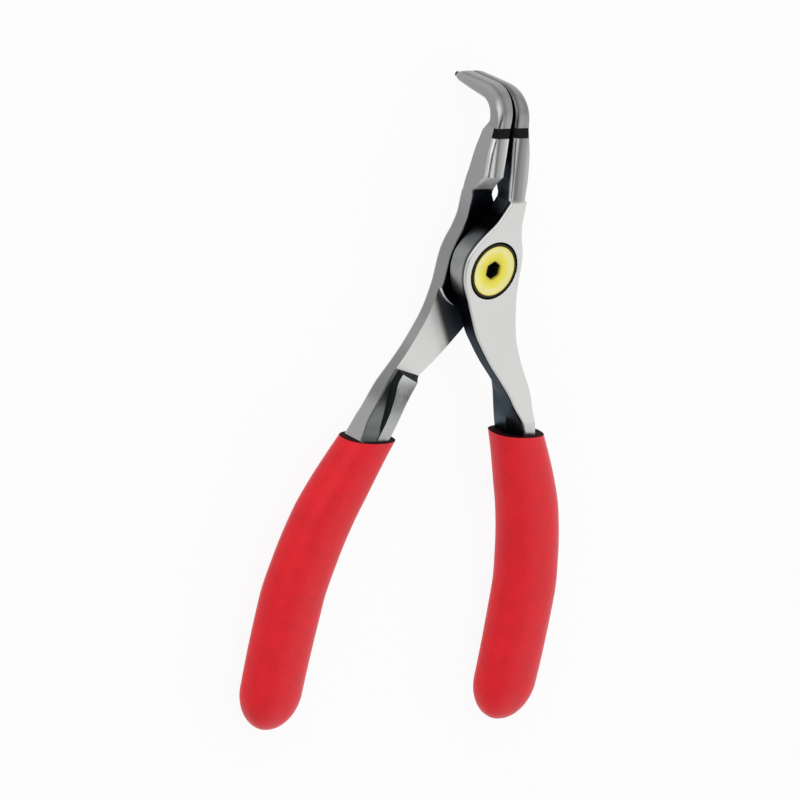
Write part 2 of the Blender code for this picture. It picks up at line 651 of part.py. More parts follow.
def build():
    for item in list(bpy.data.objects):
        bpy.data.objects.remove(item, do_unlink=True)
    start = math.radians(SPRING_START)
    end = start + SPRING_TURNS * 2 * math.pi
    front = Limb(1, FRONT_FACE)
    rear = Limb(-1, -REAR_FACE)
    make_limb("front_limb", front, [
        relief_cutter(1),
        round_cutter(SCREW_RADIUS + BUSH_WALL + 2 * FIT, -2.0, FRONT_FACE + 1.0),
        round_cutter(COUNTERBORE_RADIUS, COUNTERBORE_FLOOR, FRONT_FACE + 1.0),
        spring_groove(1), leg_hole(start, 1), pin_hole(1),
    ])
    make_limb("rear_limb", rear, [
        relief_cutter(-1),
        round_cutter(NUT_BARREL_RADIUS + FIT, REAR_FACE - 1.0, 2.0),
        round_cutter(NUT_FLANGE_RADIUS + FIT, REAR_FACE - 1.0, REAR_FACE + NUT_FLANGE_HEIGHT + FIT),
        spring_groove(-1), leg_hole(end, -1), pin_hole(-1),
    ])
    make_grip("front_grip", front)
    make_grip("rear_grip", rear)
    make_pin("front_tip_pin", 1)
    make_pin("rear_tip_pin", -1)
    make_screw()
    make_disc()
    make_ring("thrust_washer", SCREW_RADIUS + FIT, WASHER_RADIUS, COUNTERBORE_FLOOR + FIT, HEAD_BOTTOM - FIT,
              (0.5, 0.5, 0.5))
    make_ring("pivot_bush", SCREW_RADIUS + FIT, SCREW_RADIUS + FIT + BUSH_WALL, NUT_TOP + FIT, COUNTERBORE_FLOOR,
              (0.6, 0.45, 0.2))
    make_nut()
    make_spring()


build()
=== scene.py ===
"""Circlip pliers with bent tips in a plain studio: satin steel, dipped grips and a yellow pivot cap.

Shapes are worked out in millimetres, with heights counted from the lap plane where the two limbs meet, and
are scaled and lifted into the frame when a mesh is made. X runs across the tool, Y from the pivot to the
nose. Places, sizes and lamps of the studio are in metres.
"""

import math

import bmesh
import bpy
from mathutils import Matrix, Vector


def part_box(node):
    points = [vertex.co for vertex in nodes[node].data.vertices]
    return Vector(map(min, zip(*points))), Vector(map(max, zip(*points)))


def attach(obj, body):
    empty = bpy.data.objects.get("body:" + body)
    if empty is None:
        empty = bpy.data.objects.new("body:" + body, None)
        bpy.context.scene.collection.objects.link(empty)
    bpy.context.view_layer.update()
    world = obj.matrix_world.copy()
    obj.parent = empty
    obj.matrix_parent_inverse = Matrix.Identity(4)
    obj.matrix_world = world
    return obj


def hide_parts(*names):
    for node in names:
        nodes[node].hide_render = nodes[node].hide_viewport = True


MM = 0.001

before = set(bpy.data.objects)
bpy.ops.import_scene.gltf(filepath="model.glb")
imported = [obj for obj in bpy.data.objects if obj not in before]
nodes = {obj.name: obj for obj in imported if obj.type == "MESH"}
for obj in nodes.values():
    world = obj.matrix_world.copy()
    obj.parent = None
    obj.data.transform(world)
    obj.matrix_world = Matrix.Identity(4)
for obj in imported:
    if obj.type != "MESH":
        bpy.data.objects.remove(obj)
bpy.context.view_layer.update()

# Camera
CAMERA_RIGHT = Vector((0.7419, 0.2007, 0.6398))
CAMERA_UP = Vector((0.0296, 0.9434, -0.3302))
PAD_CENTRE = Vector((0.0, 0.0, 11.1)) * MM
# How far the picture's middle lies to the right of the pad's centre, and above it
MIDDLE_FROM_PAD = (-23.525 * MM, -32.25 * MM)
CAMERA_DISTANCE = 8.0
LENS = 1440.0
SENSOR = 36.0
NEAREST = 0.05
FARTHEST = 30.0

# Floor
FLOOR_SIZE = 6.0
FLOOR_DROP = 0.0002
FLOOR_TONE = 0.9
FLOOR_ROUGHNESS = 0.9
FLOOR_GLOW = 0.92

# The studio as reflections find it, by height of direction: bright walls and a dark card overhead
WALLS_BELOW = (0.7, 0.7, 0.71)
WALLS = ((0.35, 0.95), (0.78, 0.9), (0.9, 0.25))
WALLS_ABOVE = (0.1, 0.1, 0.11)
# The tone with which the same walls light the tool
WALL_LIGHT = (0.52, 0.52, 0.53)

# Lamps, each with its place and power: squares of one size that face the middle of the tool
LAMPS = (("key", (-0.6, 0.7, 1.0), 8.0), ("fill", (1.0, -0.4, 0.8), 2.5))
LAMP_SIZE = 1.4
LAMP_AIM = (0.0, -0.04, 0.0)

# Plates
LAP_GAP = 0.3
ARM_RELIEF = 1.35
FRONT_FACE = 6.2
REAR_FACE = -4.9
PAD_RADIUS = 9.65
REAR_PAD_RADIUS = 10.3
BOSS_RADIUS = 12.2
STEP_DISTANCE = 31.8
STEP_TILT = 15.0
STEP_FARTHEST = 36.0
STEP_DRAFT = 15.0
RELIEF_MARGIN = 3.0
PLATE_ROUND = (0.5, 0.5)
LAP_EDGE = (0.3, 0.3)

# Jaws
PAD_END = 17.8
RAMP_START = 19.0
RAMP_END = 24.0
PAD_STEP = 1.0
PAD_STEP_LENGTH = 0.4
REAR_PAD_STEP = 0.4
JAW_ROOT_GAP = 2.4
JAW_BEND_GAP = 1.1
JAW_GAP = 0.36
JAW_ROOT_WIDTH = 6.1
JAW_ROOT_FRONT = 4.2
JAW_ROOT_BACK = -3.1
JAW_NOSE_WIDTH = 5.0
JAW_NOSE_THICKNESS = 4.8
JAW_END_WIDTH = 4.5
JAW_END_THICKNESS = 3.3
BACK_THINNING = 0.75
JAW_ROUND = (1.2, 1.0)
JAW_GAP_ROUND = (0.9, 0.8)
NOSE_ROUND_SHARE = 0.8
NOSE_NARROWING = 1.6
NOSE_CLOSED_AT = 0.4
KNEE_LENGTH = 2.5
REAR_WEB = 1.4
REAR_FLARE = 1.0
NOSE_REACH = 45.8
BEND_RADIUS = 6.2
LEG_DEPTH = 17.8
TIP_LENGTH = 2.6
TIP_SHARE = 0.55
BAND_WIDTH = 2.5
BAND_DEPTH = 0.15
BAND_TO_BEND = 0.9
BAND_EDGE = 0.12
PIN_DIAMETER = 1.3
PIN_OUT = 1.0
PIN_SEAT = 6.0
PIN_FIT = 0.12
PIN_OFFSET = 2.95
PIN_NOSE = 0.2
PIN_NOSE_TURNS = (0.35, 0.7, 1.05, 1.35)

# Handles
SHANK_START = -24.0
SHANK_THIN_FROM = -41.0
SHANK_HEIGHT = 4.0
SHANK_STEP_LENGTH = 0.1
RIDGE_HEIGHT = 3.6
FLUTE_WALL = 0.3
GRIP_MOUTH = -45.4
GRIP_END = -122.5
GRIP_WIDTH = 18.0
GRIP_THICKNESS = 11.6
GRIP_MOUTH_SHARE = 0.88
GRIP_TAIL_SHARE = 0.95
GRIP_FULL_FROM = -64.0
GRIP_FULL_TO = -84.0
GRIP_END_LENGTH = 10.5
GRIP_END_FLAT = 0.01
GRIP_POWER = 2.4
TANG_FULL_FROM = -58.0
TANG_BLEND = 12.0
TANG_END = -101.0
TANG_WIDTH = 8.6
TANG_END_WIDTH = 6.4
TANG_END_THICKNESS = 5.4
MOUTH_MARGIN = 0.05
GRIP_FIT = 0.3

# Pivot
FIT = 0.15
SCREW_RADIUS = 3.0
SCREW_CHAMFER = 0.3
SCREW_HEAD_HEIGHT = 0.9
HEX_ACROSS_FLATS = 4.0
HEX_DEPTH = 2.6
BUSH_WALL = 1.4
WASHER_THICKNESS = 0.5
DISC_RADIUS = 7.1
DISC_SKIRT = 0.65
DISC_RING_GAP = 0.5
DISC_PROUD = 0.1
DISC_DISH = 0.45
DISC_THICKNESS = 0.95
DISC_HEX_MARGIN = 0.15
CAP_FACE_RADIUS = 6.5
CAP_HOLE = 1.0
CAP_LIP = 0.2
CAP_LIFT = 0.1
DISH_POWER = 2.2
NUT_CHAMFER = 0.2
NUT_FLANGE_RADIUS = 6.4
NUT_FLANGE_HEIGHT = 1.9
NUT_BARREL_RADIUS = 4.6
SPANNER_HOLE_RADIUS = 0.7
SPANNER_HOLE_DEPTH = 1.1
SPRING_WIRE = 1.1
SPRING_RADIUS = 7.3
SPRING_ROOM = 0.3
SPRING_GROOVE_DEPTH = 2.05

# How finely the shapes are drawn
ROUND_STEPS = 5
SPACING = 0.8
BEND_STEPS = 26
LEG_STEPS = 10
TIP_STEPS = 8
TANG_STEPS = 13
CIRCLE_STEPS = 128
PIN_STEPS = 32
PIN_HOLE_STEPS = 24
DISH_STEPS = 16
RELIEF_STEPS = 90
GRIP_PATH_STEPS = 90
GRIP_SIDES = 72

# How far cutters reach past what they cut
OVERCUT = 1.0

# Broken edges, the angles from which an edge is broken, and how much more it takes to be shaded sharp
BROKEN_EDGE = 0.1
TURNED_EDGE = 0.08
NUT_EDGE = 0.06
GRIP_EDGE = 0.5
SHARP_ANGLE = 26.0
GRIP_SHARP_ANGLE = 40.0
SHADING_MARGIN = 8.0

# Noise of the finishes: its detail, the share of grain among the clouds, and the range that is used
GRAIN_DETAIL = 5.0
CLOUD_DETAIL = 4.0
GRAIN_IN_CLOUDS = 0.4
NOISE_RANGE = (0.3, 0.7)
ROUGHNESS_SPREAD = 0.08
# Finishes that mirror less than most, and how much they do
SHINE = {"cap_rim_painted_shade": 0.2, "scale": 0.2, "band": 0.12, "rim": 0.1, "grip": 0.22}
GROUND_TONE = (0.6, 0.6, 0.585)
# The black of painted shade in the laps and the joint
SHADE_BLACK = (0.008, 0.009, 0.013)

# Directions by which a finish is tinted; into the joint is a share across, on both sides, and one along
AXES = {"across": (1, 0, 0), "along": (0, 1, 0), "up": (0, 0, 1)}
INTO_JOINT = (-0.86, 0.51)

# Slots of the finishes on a grip's mouth, which is painted dark as shade, on faces that look this much
# along the tool, and on a limb
GRIP_RIM = 1
MOUTH_FACING = 0.9
# Of a limb's finishes, scale is black painted shade on the step and flute walls, brim is painted light on
# the boss wall, and the tints of lap, swept, ramp, forged, jaw and nose paint light and shade
FINISHES = (
    "forged", "ground", "lap", "band", "bore", "nose", "jaw", "scale", "ridge", "land", "swept", "ramp",
    "brim",
)
FORGED, GROUND, LAP, BAND, BORE, NOSE, JAW, BLACK_SHADE_WALL, RIDGE, LAND, SWEPT, RAMP, BRIM = range(len(FINISHES))


def smooth(points):
    """Return a curve through (position, value) pairs that never swings past them."""
    places, values = zip(*sorted(points))
    steps = range(len(places) - 1)
    rates = [(values[i + 1] - values[i]) / (places[i + 1] - places[i]) for i in steps]
    middle = [0 if a * b <= 0 else 2 * a * b / (a + b) for a, b in zip(rates, rates[1:])]
    slopes = [rates[0], *middle, rates[-1]]

    def value(place):
        place = min(max(place, places[0]), places[-1])
        i = max(k for k in steps if places[k] <= place or k == 0)
        span = places[i + 1] - places[i]
        t = (place - places[i]) / span
        rise = values[i] * (1 + 2 * t) + slopes[i] * span * t
        fall = values[i + 1] * (3 - 2 * t) - slopes[i + 1] * span * (1 - t)
        return rise * (1 - t) ** 2 + fall * t**2

    return value


def slanted(points):
    """Return straight runs through (position, value) pairs."""
    def value(place):
        before = max((p for p in points if p[0] <= place), default=min(points))
        after = min((p for p in points if p[0] > place), default=max(points))
        if before[0] == after[0]:
            return before[1]
        return before[1] + (after[1] - before[1]) * (place - before[0]) / (after[0] - before[0])

    return value


# Radii and heights in the pivot's stack
COUNTERBORE_RADIUS = DISC_RADIUS + DISC_RING_GAP
SCREW_HEAD_RADIUS = DISC_RADIUS - DISC_SKIRT - FIT
DISC_TOP = FRONT_FACE + DISC_PROUD
HEAD_TOP = DISC_TOP - DISC_THICKNESS - FIT
HEAD_BOTTOM = HEAD_TOP - SCREW_HEAD_HEIGHT
COUNTERBORE_FLOOR = HEAD_BOTTOM - 2 * FIT - WASHER_THICKNESS
NUT_TOP = -LAP_GAP / 2

# Depth to which the limbs clear each other between boss and shank step, and the turn they clear
RELIEF_DEPTH = SHANK_HEIGHT + RELIEF_MARGIN
RELIEF_TURN = (-172.0, -8.0)

# Where the straight jaw gives way to the bend, and the line of the bent leg
BEND_START = NOSE_REACH - JAW_NOSE_THICKNESS / 2 - BEND_RADIUS
BAND_END = BEND_START - BAND_TO_BEND
BAND_START = BAND_END - BAND_WIDTH
LEG_Y = BEND_START + BEND_RADIUS
PIN_Y = LEG_Y + (JAW_NOSE_THICKNESS - JAW_END_THICKNESS) * (BACK_THINNING - 0.5)

# Middle of a handle, the plate's inner and outer edge, the shank's ridge, flute and land
grip_middle = smooth([
    (GRIP_MOUTH, 25.1), (-50.5, 27.7), (-58.0, 31.2), (-66.2, 34.5), (-77.0, 37.4),
    (-88.2, 39.2), (-105.4, 39.6), (GRIP_END, 39.3),
])
plate_inner = smooth([
    (PAD_END, 1.25), (12.8, -1.7), (9.15, -5.3), (6.0, -8.0), (3.0, -9.45), (0.6, -PAD_RADIUS),
    (-1.8, -9.35), (-4.3, -8.45), (-8.1, -6.3), (-12.3, -4.0), (-17.5, -0.9), (-20.4, 1.5),
    (-25.3, 5.9), (-29.9, 10.7), (-34.1, 14.9), (-37.5, 17.7), (-41.3, 21.4), (GRIP_MOUTH, 24.4),
    (-50.5, 25.6), (-60.0, 29.2),
])
plate_outer = smooth([
    (PAD_END, 6.5), (13.1, 6.5), (8.8, 7.2), (5.5, 8.4), (2.5, 9.1), (-0.5, 9.3), (-4.6, 9.5),
    (-8.6, 10.1), (-14.1, 11.4), (-17.7, 12.5), (-22.6, 14.8), (-26.7, 17.3), (-32.6, 21.2),
    (-39.8, 24.6), (GRIP_MOUTH, 28.4), (-50.5, 31.6), (-60.0, 35.7),
])
ridge_inner = smooth([(-26.0, 12.4), (-29.0, 14.6), (-32.0, 16.0), (-36.0, 17.6), (-40.0, 18.9),
                      (GRIP_MOUTH, 20.9), (-50.5, 23.6), (-60.0, 28.5)])
flute_inset = smooth([(-24.0, 0.7), (-30.0, 0.85), (-34.0, 2.0), (-40.0, 2.7), (GRIP_MOUTH, 4.3)])
ridge_height = smooth([(-28.0, -1.2), (-30.0, -1.5), (-34.0, -2.4), (-38.5, -3.3),
                       (SHANK_THIN_FROM, -RIDGE_HEIGHT)])
flute_height = smooth([(-28.0, 0.9), (-30.0, 0.7), (-34.0, 0.0), (-40.0, -1.9), (-42.0, -2.6),
                       (-43.2, -3.3), (GRIP_MOUTH, -RIDGE_HEIGHT)])
land_height = smooth([(-28.0, 1.1), (-30.0, 0.9), (-34.0, 0.2), (-40.0, -0.1), (GRIP_MOUTH, -2.4),
                      (-50.5, -3.0)])
# Half the gap between the jaws, and how wide each jaw is
jaw_half_gap = smooth([(PAD_END, 1.25), (RAMP_END, JAW_ROOT_GAP / 2), (30.0, JAW_ROOT_GAP / 2 - 0.35),
                       (BEND_START, JAW_BEND_GAP / 2)])
jaw_width = smooth([(PAD_END, 5.25), (RAMP_END, JAW_ROOT_WIDTH), (29.0, JAW_ROOT_WIDTH),
                    (33.0, JAW_NOSE_WIDTH + 0.6), (BEND_START, JAW_NOSE_WIDTH)])
# What the rear limb has more than the front one: a web at the foot of its ramp and a fuller outer edge
rear_web = slanted([(9.0, 0.0), (13.0, REAR_WEB), (RAMP_START, REAR_WEB), (RAMP_START + 3.0, 0.0)])
rear_flare = smooth([(BOSS_RADIUS, 0.0), (0.0, REAR_PAD_RADIUS - PAD_RADIUS), (-BOSS_RADIUS, 0.4),
                     (-20.0, REAR_FLARE), (GRIP_MOUTH, REAR_FLARE), (-52.0, 0.3), (-60.0, 0.0)])


def quarter(steps):
    """Angles from nothing to a quarter turn."""
    return [math.pi / 2 * k / steps for k in range(steps + 1)]


def rounded(x, z, dx, dz):
    """Quarter of an ellipse over the corner (x, z), from the wall to the face; dx and dz point inwards."""
    return [(x + dx * (1 - math.cos(turn)), z + dz * (1 - math.sin(turn))) for turn in quarter(ROUND_STEPS)]


def ring(front_outer, front_inner, waist, back_inner, hind, back_outer):
    """Section from four corners (x, z, rounding), the inner wall's waist and the points of the back."""
    x, z, (dx, dz) = front_outer
    points = rounded(x, z, -dx, -dz)
    x, z, (dx, dz) = front_inner
    points += rounded(x, z, dx, -dz)[::-1]
    x, z, (dx, dz) = back_inner
    points += [waist, *rounded(x, z, dx, dz), *hind]
    x, z, (dx, dz) = back_outer
    return points + rounded(x, z, -dx, dz)[::-1]


# Where in a ring each stretch after the front face starts: the inner wall, the back and the outer wall
INNER_STRETCH = 2 * ROUND_STEPS + 1
BACK_STRETCH = 3 * ROUND_STEPS + 3
OUTER_STRETCH = 4 * ROUND_STEPS + 6


def mix(one, two, share):
    return tuple(a + (b - a) * share for a, b in zip(one, two))


class Limb:
    """One forged limb, described as the front one; side -1 turns it about Y into the rear one."""

    def __init__(self, side, face):
        self.side = side
        self.face = face

    def inner(self, y):
        edge = plate_inner(y) if y <= PAD_END else jaw_half_gap(y)
        return edge if self.side > 0 else edge - rear_web(y)

    def outer(self, y):
        return plate_outer(y) if self.side > 0 else plate_outer(y) + rear_flare(y)

    def section(self, y):
        """Ring of (x, z) corners of the forging across the tool at distance y."""
        if y > PAD_END:
            return self.jaw(y)
        if y > SHANK_START:
            return self.box(self.inner(y), self.outer(y), self.face, LAP_GAP / 2,
                            (PLATE_ROUND, PLATE_ROUND, LAP_EDGE, LAP_EDGE))
        return self.shank(y) if y >= GRIP_MOUTH else self.tang(y)

    def box(self, inner, outer, front, back, rounds):
        """Section with four rounded corners: outer and inner front, inner and outer back."""
        waist = ARM_RELIEF if back < ARM_RELIEF < front - rounds[1][1] else (front + back) / 2
        low, high = inner + rounds[2][0], outer - rounds[3][0]
        hind = [(low + (high - low) * share, back) for share in (1 / 3, 2 / 3)]
        return ring((outer, front, rounds[0]), (inner, front, rounds[1]), (inner, waist),
                    (inner, back, rounds[2]), hind, (outer, back, rounds[3]))

    def jaw(self, y):
        """Both jaws lie alike, so the rear limb's front and back change places."""
        lap = LAP_GAP / 2
        nose = JAW_NOSE_THICKNESS / 2
        outer = jaw_half_gap(y) + jaw_width(y)
        if self.side > 0:
            front = slanted([(PAD_END, self.face), (PAD_END + PAD_STEP_LENGTH, self.face - PAD_STEP),
                             (RAMP_END, JAW_ROOT_FRONT), (BEND_START, nose)])(y)
            back = slanted([(RAMP_START, lap), (RAMP_END, JAW_ROOT_BACK), (BEND_START, -nose)])(y)
        else:
            front = slanted([(RAMP_START, -lap), (RAMP_END, JAW_ROOT_FRONT), (BEND_START, nose)])(y)
            back = slanted([(PAD_END, -self.face), (PAD_END + PAD_STEP_LENGTH, REAR_PAD_STEP - self.face),
                            (RAMP_END, JAW_ROOT_BACK), (BEND_START, -nose)])(y)
        if BAND_START <= y <= BAND_END:
            front -= BAND_DEPTH
        share = min(1.0, (y - PAD_END) / (RAMP_END - PAD_END))
        knee = max(0.0, 1 - (BEND_START - y) / KNEE_LENGTH)
        full = (NOSE_ROUND_SHARE * JAW_NOSE_WIDTH, NOSE_ROUND_SHARE * nose)
        back_round = mix(mix(LAP_EDGE, PLATE_ROUND, share), full, knee)
        return self.lying(self.inner(y), outer, front, back, mix(PLATE_ROUND, JAW_ROUND, share),
                          mix(PLATE_ROUND, JAW_GAP_ROUND, share), back_round)

    def lying(self, inner, outer, front, back, outer_round, gap_round, back_round):
        """A jaw's section, given as it lies in the tool, in the limb's own sense of front and back."""
        if self.side > 0:
            return self.box(inner, outer, front, back, (outer_round, gap_round, LAP_EDGE, back_round))
        return self.box(inner, outer, -back, -front, (back_round, LAP_EDGE, gap_round, outer_round))

    def nose(self, share):
        """Section square to the bent nose; share runs from 0 where the bend starts to 1 at the end."""
        start, end = JAW_BEND_GAP / 2 + JAW_NOSE_WIDTH, JAW_GAP / 2 + JAW_END_WIDTH
        outer = start + (end - start) * share**NOSE_NARROWING
        closed = min(1.0, share / NOSE_CLOSED_AT)
        inner = (JAW_BEND_GAP + (JAW_GAP - JAW_BEND_GAP) * closed) / 2
        thinner = (JAW_NOSE_THICKNESS - JAW_END_THICKNESS) * share**2
        front = JAW_NOSE_THICKNESS / 2 - (1 - BACK_THINNING) * thinner
        back = BACK_THINNING * thinner - JAW_NOSE_THICKNESS / 2
        full = (NOSE_ROUND_SHARE * (outer - inner), NOSE_ROUND_SHARE * (front - back) / 2)
        return self.lying(inner, outer, front, back, mix(JAW_ROUND, full, closed),
                          mix(JAW_GAP_ROUND, LAP_EDGE, closed), full)

    def shank(self, y):
        """The full-height shank: a ridge along its inner side and a flute between it and the outer land."""
        inner, ridge, outer = plate_inner(y), ridge_inner(y), self.outer(y)
        line = outer - flute_inset(y)
        front = slanted([(GRIP_MOUTH, SHANK_HEIGHT), (SHANK_THIN_FROM, self.face)])(y)
        hind = [(max(line - FLUTE_WALL / 2, ridge + 2 * LAP_EDGE[0]), max(ridge_height(y), -RIDGE_HEIGHT)),
                (line + FLUTE_WALL / 2, flute_height(y))]
        waist = (min(inner, ridge), ARM_RELIEF)
        return ring((outer, front, PLATE_ROUND), (inner, front, PLATE_ROUND), waist,
                    (ridge, -RIDGE_HEIGHT, LAP_EDGE), hind, (outer, land_height(y), LAP_EDGE))

    def tang(self, y):
        """The bar inside the grip, from the shank's section at the mouth to a plain one."""
        half = slanted([(TANG_END, TANG_END_WIDTH / 2), (TANG_FULL_FROM, TANG_WIDTH / 2)])(y)
        blend = min(1.0, (GRIP_MOUTH - y) / TANG_BLEND)
        middle = grip_middle(y)
        inner, ridge, outer = mix((plate_inner(y), ridge_inner(y), self.outer(y)),
                                  (middle - half, middle - half, middle + half), blend)
        front = slanted([(TANG_END, TANG_END_THICKNESS / 2), (GRIP_MOUTH, SHANK_HEIGHT)])(y)
        back = -min(front, RIDGE_HEIGHT)
        hind = [(ridge + (outer - ridge) * share, back) for share in (1 / 3, 2 / 3)]
        waist = (min(inner, ridge), ARM_RELIEF)
        return ring((outer, front, PLATE_ROUND), (inner, front, PLATE_ROUND), waist,
                    (ridge, back, LAP_EDGE), hind, (outer, back, LAP_EDGE))

    def finish(self, y, stretch):
        """The finish of a face, by its place along the limb and the stretch of the ring that it is in."""
        front_run = range(INNER_STRETCH)
        back_run = range(INNER_STRETCH + 2, OUTER_STRETCH)
        facing = front_run if self.side > 0 else back_run
        if stretch in (INNER_STRETCH, INNER_STRETCH + 1):
            return LAP
        if BAND_START <= y < BAND_END and stretch in facing:
            return BAND
        if y >= BAND_END:
            return NOSE
        if y > (PAD_END if self.side > 0 else RAMP_START):
            if self.side < 0 and y < RAMP_END and stretch in facing:
                return RAMP
            return JAW if stretch in facing else FORGED
        if stretch in front_run:
            return GROUND
        if stretch == OUTER_STRETCH:
            return FORGED
        if y > SHANK_START:
            return LAP
        # The flute's wall is painted black as shade
        if stretch == BACK_STRETCH + 1:
            return BLACK_SHADE_WALL
        return RIDGE if stretch <= BACK_STRETCH else LAND


FRONT_LIMB = Limb(1, FRONT_FACE)
REAR_LIMB = Limb(-1, -REAR_FACE)


def coat(item, *finishes):
    for finish in finishes:
        item.data.materials.append(finish)


def recoat(item, finish):
    """Give the whole of an object one finish in place of its own."""
    item.data.materials.clear()
    coat(item, finish)


def add_object(name, data):
    item = bpy.data.objects.new(name, data)
    bpy.context.scene.collection.objects.link(item)
    return item


def placed(name, bm):
    """Turn a bmesh in millimetres from the lap plane into an object in the frame."""
    bmesh.ops.remove_doubles(bm, verts=bm.verts, dist=1e-5)
    bmesh.ops.recalc_face_normals(bm, faces=bm.faces)
    bmesh.ops.scale(bm, vec=(MM, MM, MM), verts=bm.verts)
    bmesh.ops.translate(bm, vec=(0, 0, -REAR_FACE * MM), verts=bm.verts)
    mesh = bpy.data.meshes.new(name)
    bm.to_mesh(mesh)
    bm.free()
    return add_object(name, mesh)


def loft(bm, rings, capped=True, finish=None):
    """Skin a row of rings of points; finish gives each face's slot by ring and stretch."""
    made = [[bm.verts.new(p) for p in points] for points in rings]
    for row, (one, two) in enumerate(zip(made, made[1:])):
        for i in range(len(one)):
            j = (i + 1) % len(one)
            face = bm.faces.new((one[i], one[j], two[j], two[i]))
            face.material_index = finish(row, i) if finish else 0
    if capped:
        bm.faces.new(made[0])
        bm.faces.new(made[-1])


def circle(radius, z, x=0.0, y=0.0, sides=CIRCLE_STEPS):
    turns = [2 * math.pi * (k + 0.5) / sides for k in range(sides)]
    return [(x + radius * math.cos(turn), y + radius * math.sin(turn), z) for turn in turns]


def turned(name, profile):
    """Turn a closed (radius, height) profile about the pivot's axis."""
    bm = bmesh.new()
    rings = [circle(radius, z) for radius, z in profile]
    loft(bm, [*rings, rings[0]], False)
    return placed(name, bm)


def pegged(name, steps, x=0.0, y=0.0, sides=CIRCLE_STEPS, slot=0):
    """A solid of circles on one upright axis, from (radius, height) steps."""
    bm = bmesh.new()
    loft(bm, [circle(radius, z, x, y, sides) for radius, z in steps])
    for face in bm.faces:
        face.material_index = slot
    return placed(name, bm)


def hexagon(across_flats, low, high):
    bm = bmesh.new()
    loft(bm, [circle(across_flats / math.sqrt(3), z, sides=6) for z in (low, high)])
    return placed("cutter", bm)


def relief(side):
    """The space that the other limb sweeps, out to the drafted step. The step's wall is painted black as
    shade, the boss wall is painted bright as light, and the floor takes the swept finish with its painted
    shadow.
    """
    bm = bmesh.new()
    floor, opening = side * ARM_RELIEF, -side * RELIEF_DEPTH
    flare = math.tan(math.radians(STEP_DRAFT)) * (RELIEF_DEPTH + ARM_RELIEF)
    first, last = RELIEF_TURN
    across = math.radians(-90.0 + side * STEP_TILT)
    rings = []
    for k in range(RELIEF_STEPS + 1):
        turn = math.radians(first + (last - first) * k / RELIEF_STEPS)
        cos, sin = math.cos(turn), math.sin(turn)
        facing = math.cos(turn - across)
        reach = min(STEP_FARTHEST, STEP_DISTANCE / facing) if facing > 0 else STEP_FARTHEST
        corners = ((BOSS_RADIUS, floor), (reach, floor), (reach + flare, opening), (BOSS_RADIUS, opening))
        rings.append([(radius * cos, radius * sin, z) for radius, z in corners])
    loft(bm, rings, finish=lambda row, i: (SWEPT, BLACK_SHADE_WALL, SWEPT, BRIM)[i])
    return placed("cutter", bm)


def evaluated_mesh(item):
    return bpy.data.meshes.new_from_object(item.evaluated_get(bpy.context.evaluated_depsgraph_get()))


def baked(item):
    """Apply all modifiers of an object and leave none on it."""
    result = evaluated_mesh(item)
    result.name = item.name
    item.modifiers.clear()
    item.data = result


def carve(item, *tools):
    for tool in tools:
        step = item.modifiers.new("cut", "BOOLEAN")
        step.object = tool
        step.operation = "DIFFERENCE"
        step.solver = "EXACT"
    baked(item)
    for tool in tools:
        bpy.data.objects.remove(tool, do_unlink=True)


def finish_edges(item, width=BROKEN_EDGE, angle=SHARP_ANGLE, slot=-1):
    """Break the sharp edges by a narrow bevel and shade what lies between them smoothly."""
    mesh = item.data
    mesh.shade_smooth()
    if width:
        bevel = item.modifiers.new("broken_edge", "BEVEL")
        bevel.width = width * MM
        bevel.segments = 2
        bevel.limit_method = "ANGLE"
        bevel.angle_limit = math.radians(angle)
        bevel.use_clamp_overlap = True
        bevel.material = slot
        baked(item)
    item.data.set_sharp_from_angle(angle=math.radians(angle + SHADING_MARGIN))
    item.modifiers.new("even_shading", "WEIGHTED_NORMAL").keep_sharp = True
    baked(item)


def stations(breaks, spacing):
    """The breaks with evenly spaced places between them."""
    places = []
    for low, high in zip(breaks, breaks[1:]):
        count = max(1, round((high - low) / spacing))
        places += [low + (high - low) * k / count for k in range(count)]
    return places + [breaks[-1]]


def tang_stations():
    """Places along the tang, closer together towards the grip's mouth and ending just short of it."""
    length = GRIP_MOUTH - TANG_END - MOUTH_MARGIN
    return [TANG_END + length * math.sin(turn) for turn in quarter(TANG_STEPS)]


def limb_stations():
    breaks = [GRIP_MOUTH, SHANK_THIN_FROM, SHANK_START, SHANK_START + SHANK_STEP_LENGTH, PAD_END,
              PAD_END + PAD_STEP_LENGTH, RAMP_START, RAMP_END, BAND_START - BAND_EDGE, BAND_START,
              BEND_START - KNEE_LENGTH, BAND_END, BAND_END + BAND_EDGE]
    return tang_stations() + stations(breaks, SPACING)


def limb_rings(limb, straight):
    """Rings of the whole forging, from the end of the tang, round the bend, to the end of the leg."""
    rings = [[(x, y, z) for x, z in limb.section(y)] for y in straight]
    side = limb.side
    arc = BEND_RADIUS * math.pi / 2
    leg = LEG_DEPTH - TIP_LENGTH - BEND_RADIUS
    for turn in quarter(BEND_STEPS):
        cos, sin = math.cos(turn), math.sin(turn)
        section = limb.nose(BEND_RADIUS * turn / (arc + leg))
        rings.append([(x, BEND_START + (BEND_RADIUS + side * z) * sin,
                       side * ((BEND_RADIUS + side * z) * cos - BEND_RADIUS)) for x, z in section])
    for step in range(1, LEG_STEPS + 1):
        down = step / LEG_STEPS
        section = limb.nose((arc + leg * down) / (arc + leg))
        rings.append([(x, LEG_Y + side * z, -side * (BEND_RADIUS + leg * down)) for x, z in section])
    end = limb.nose(1.0)
    for step in range(1, TIP_STEPS + 1):
        down = step / TIP_STEPS
        share = 1 - (1 - TIP_SHARE) * down**2
        rings.append([(PIN_OFFSET + (x - PIN_OFFSET) * share, PIN_Y + (LEG_Y + side * z - PIN_Y) * share,
                       -side * (LEG_DEPTH - TIP_LENGTH * (1 - down))) for x, z in end])
    return rings


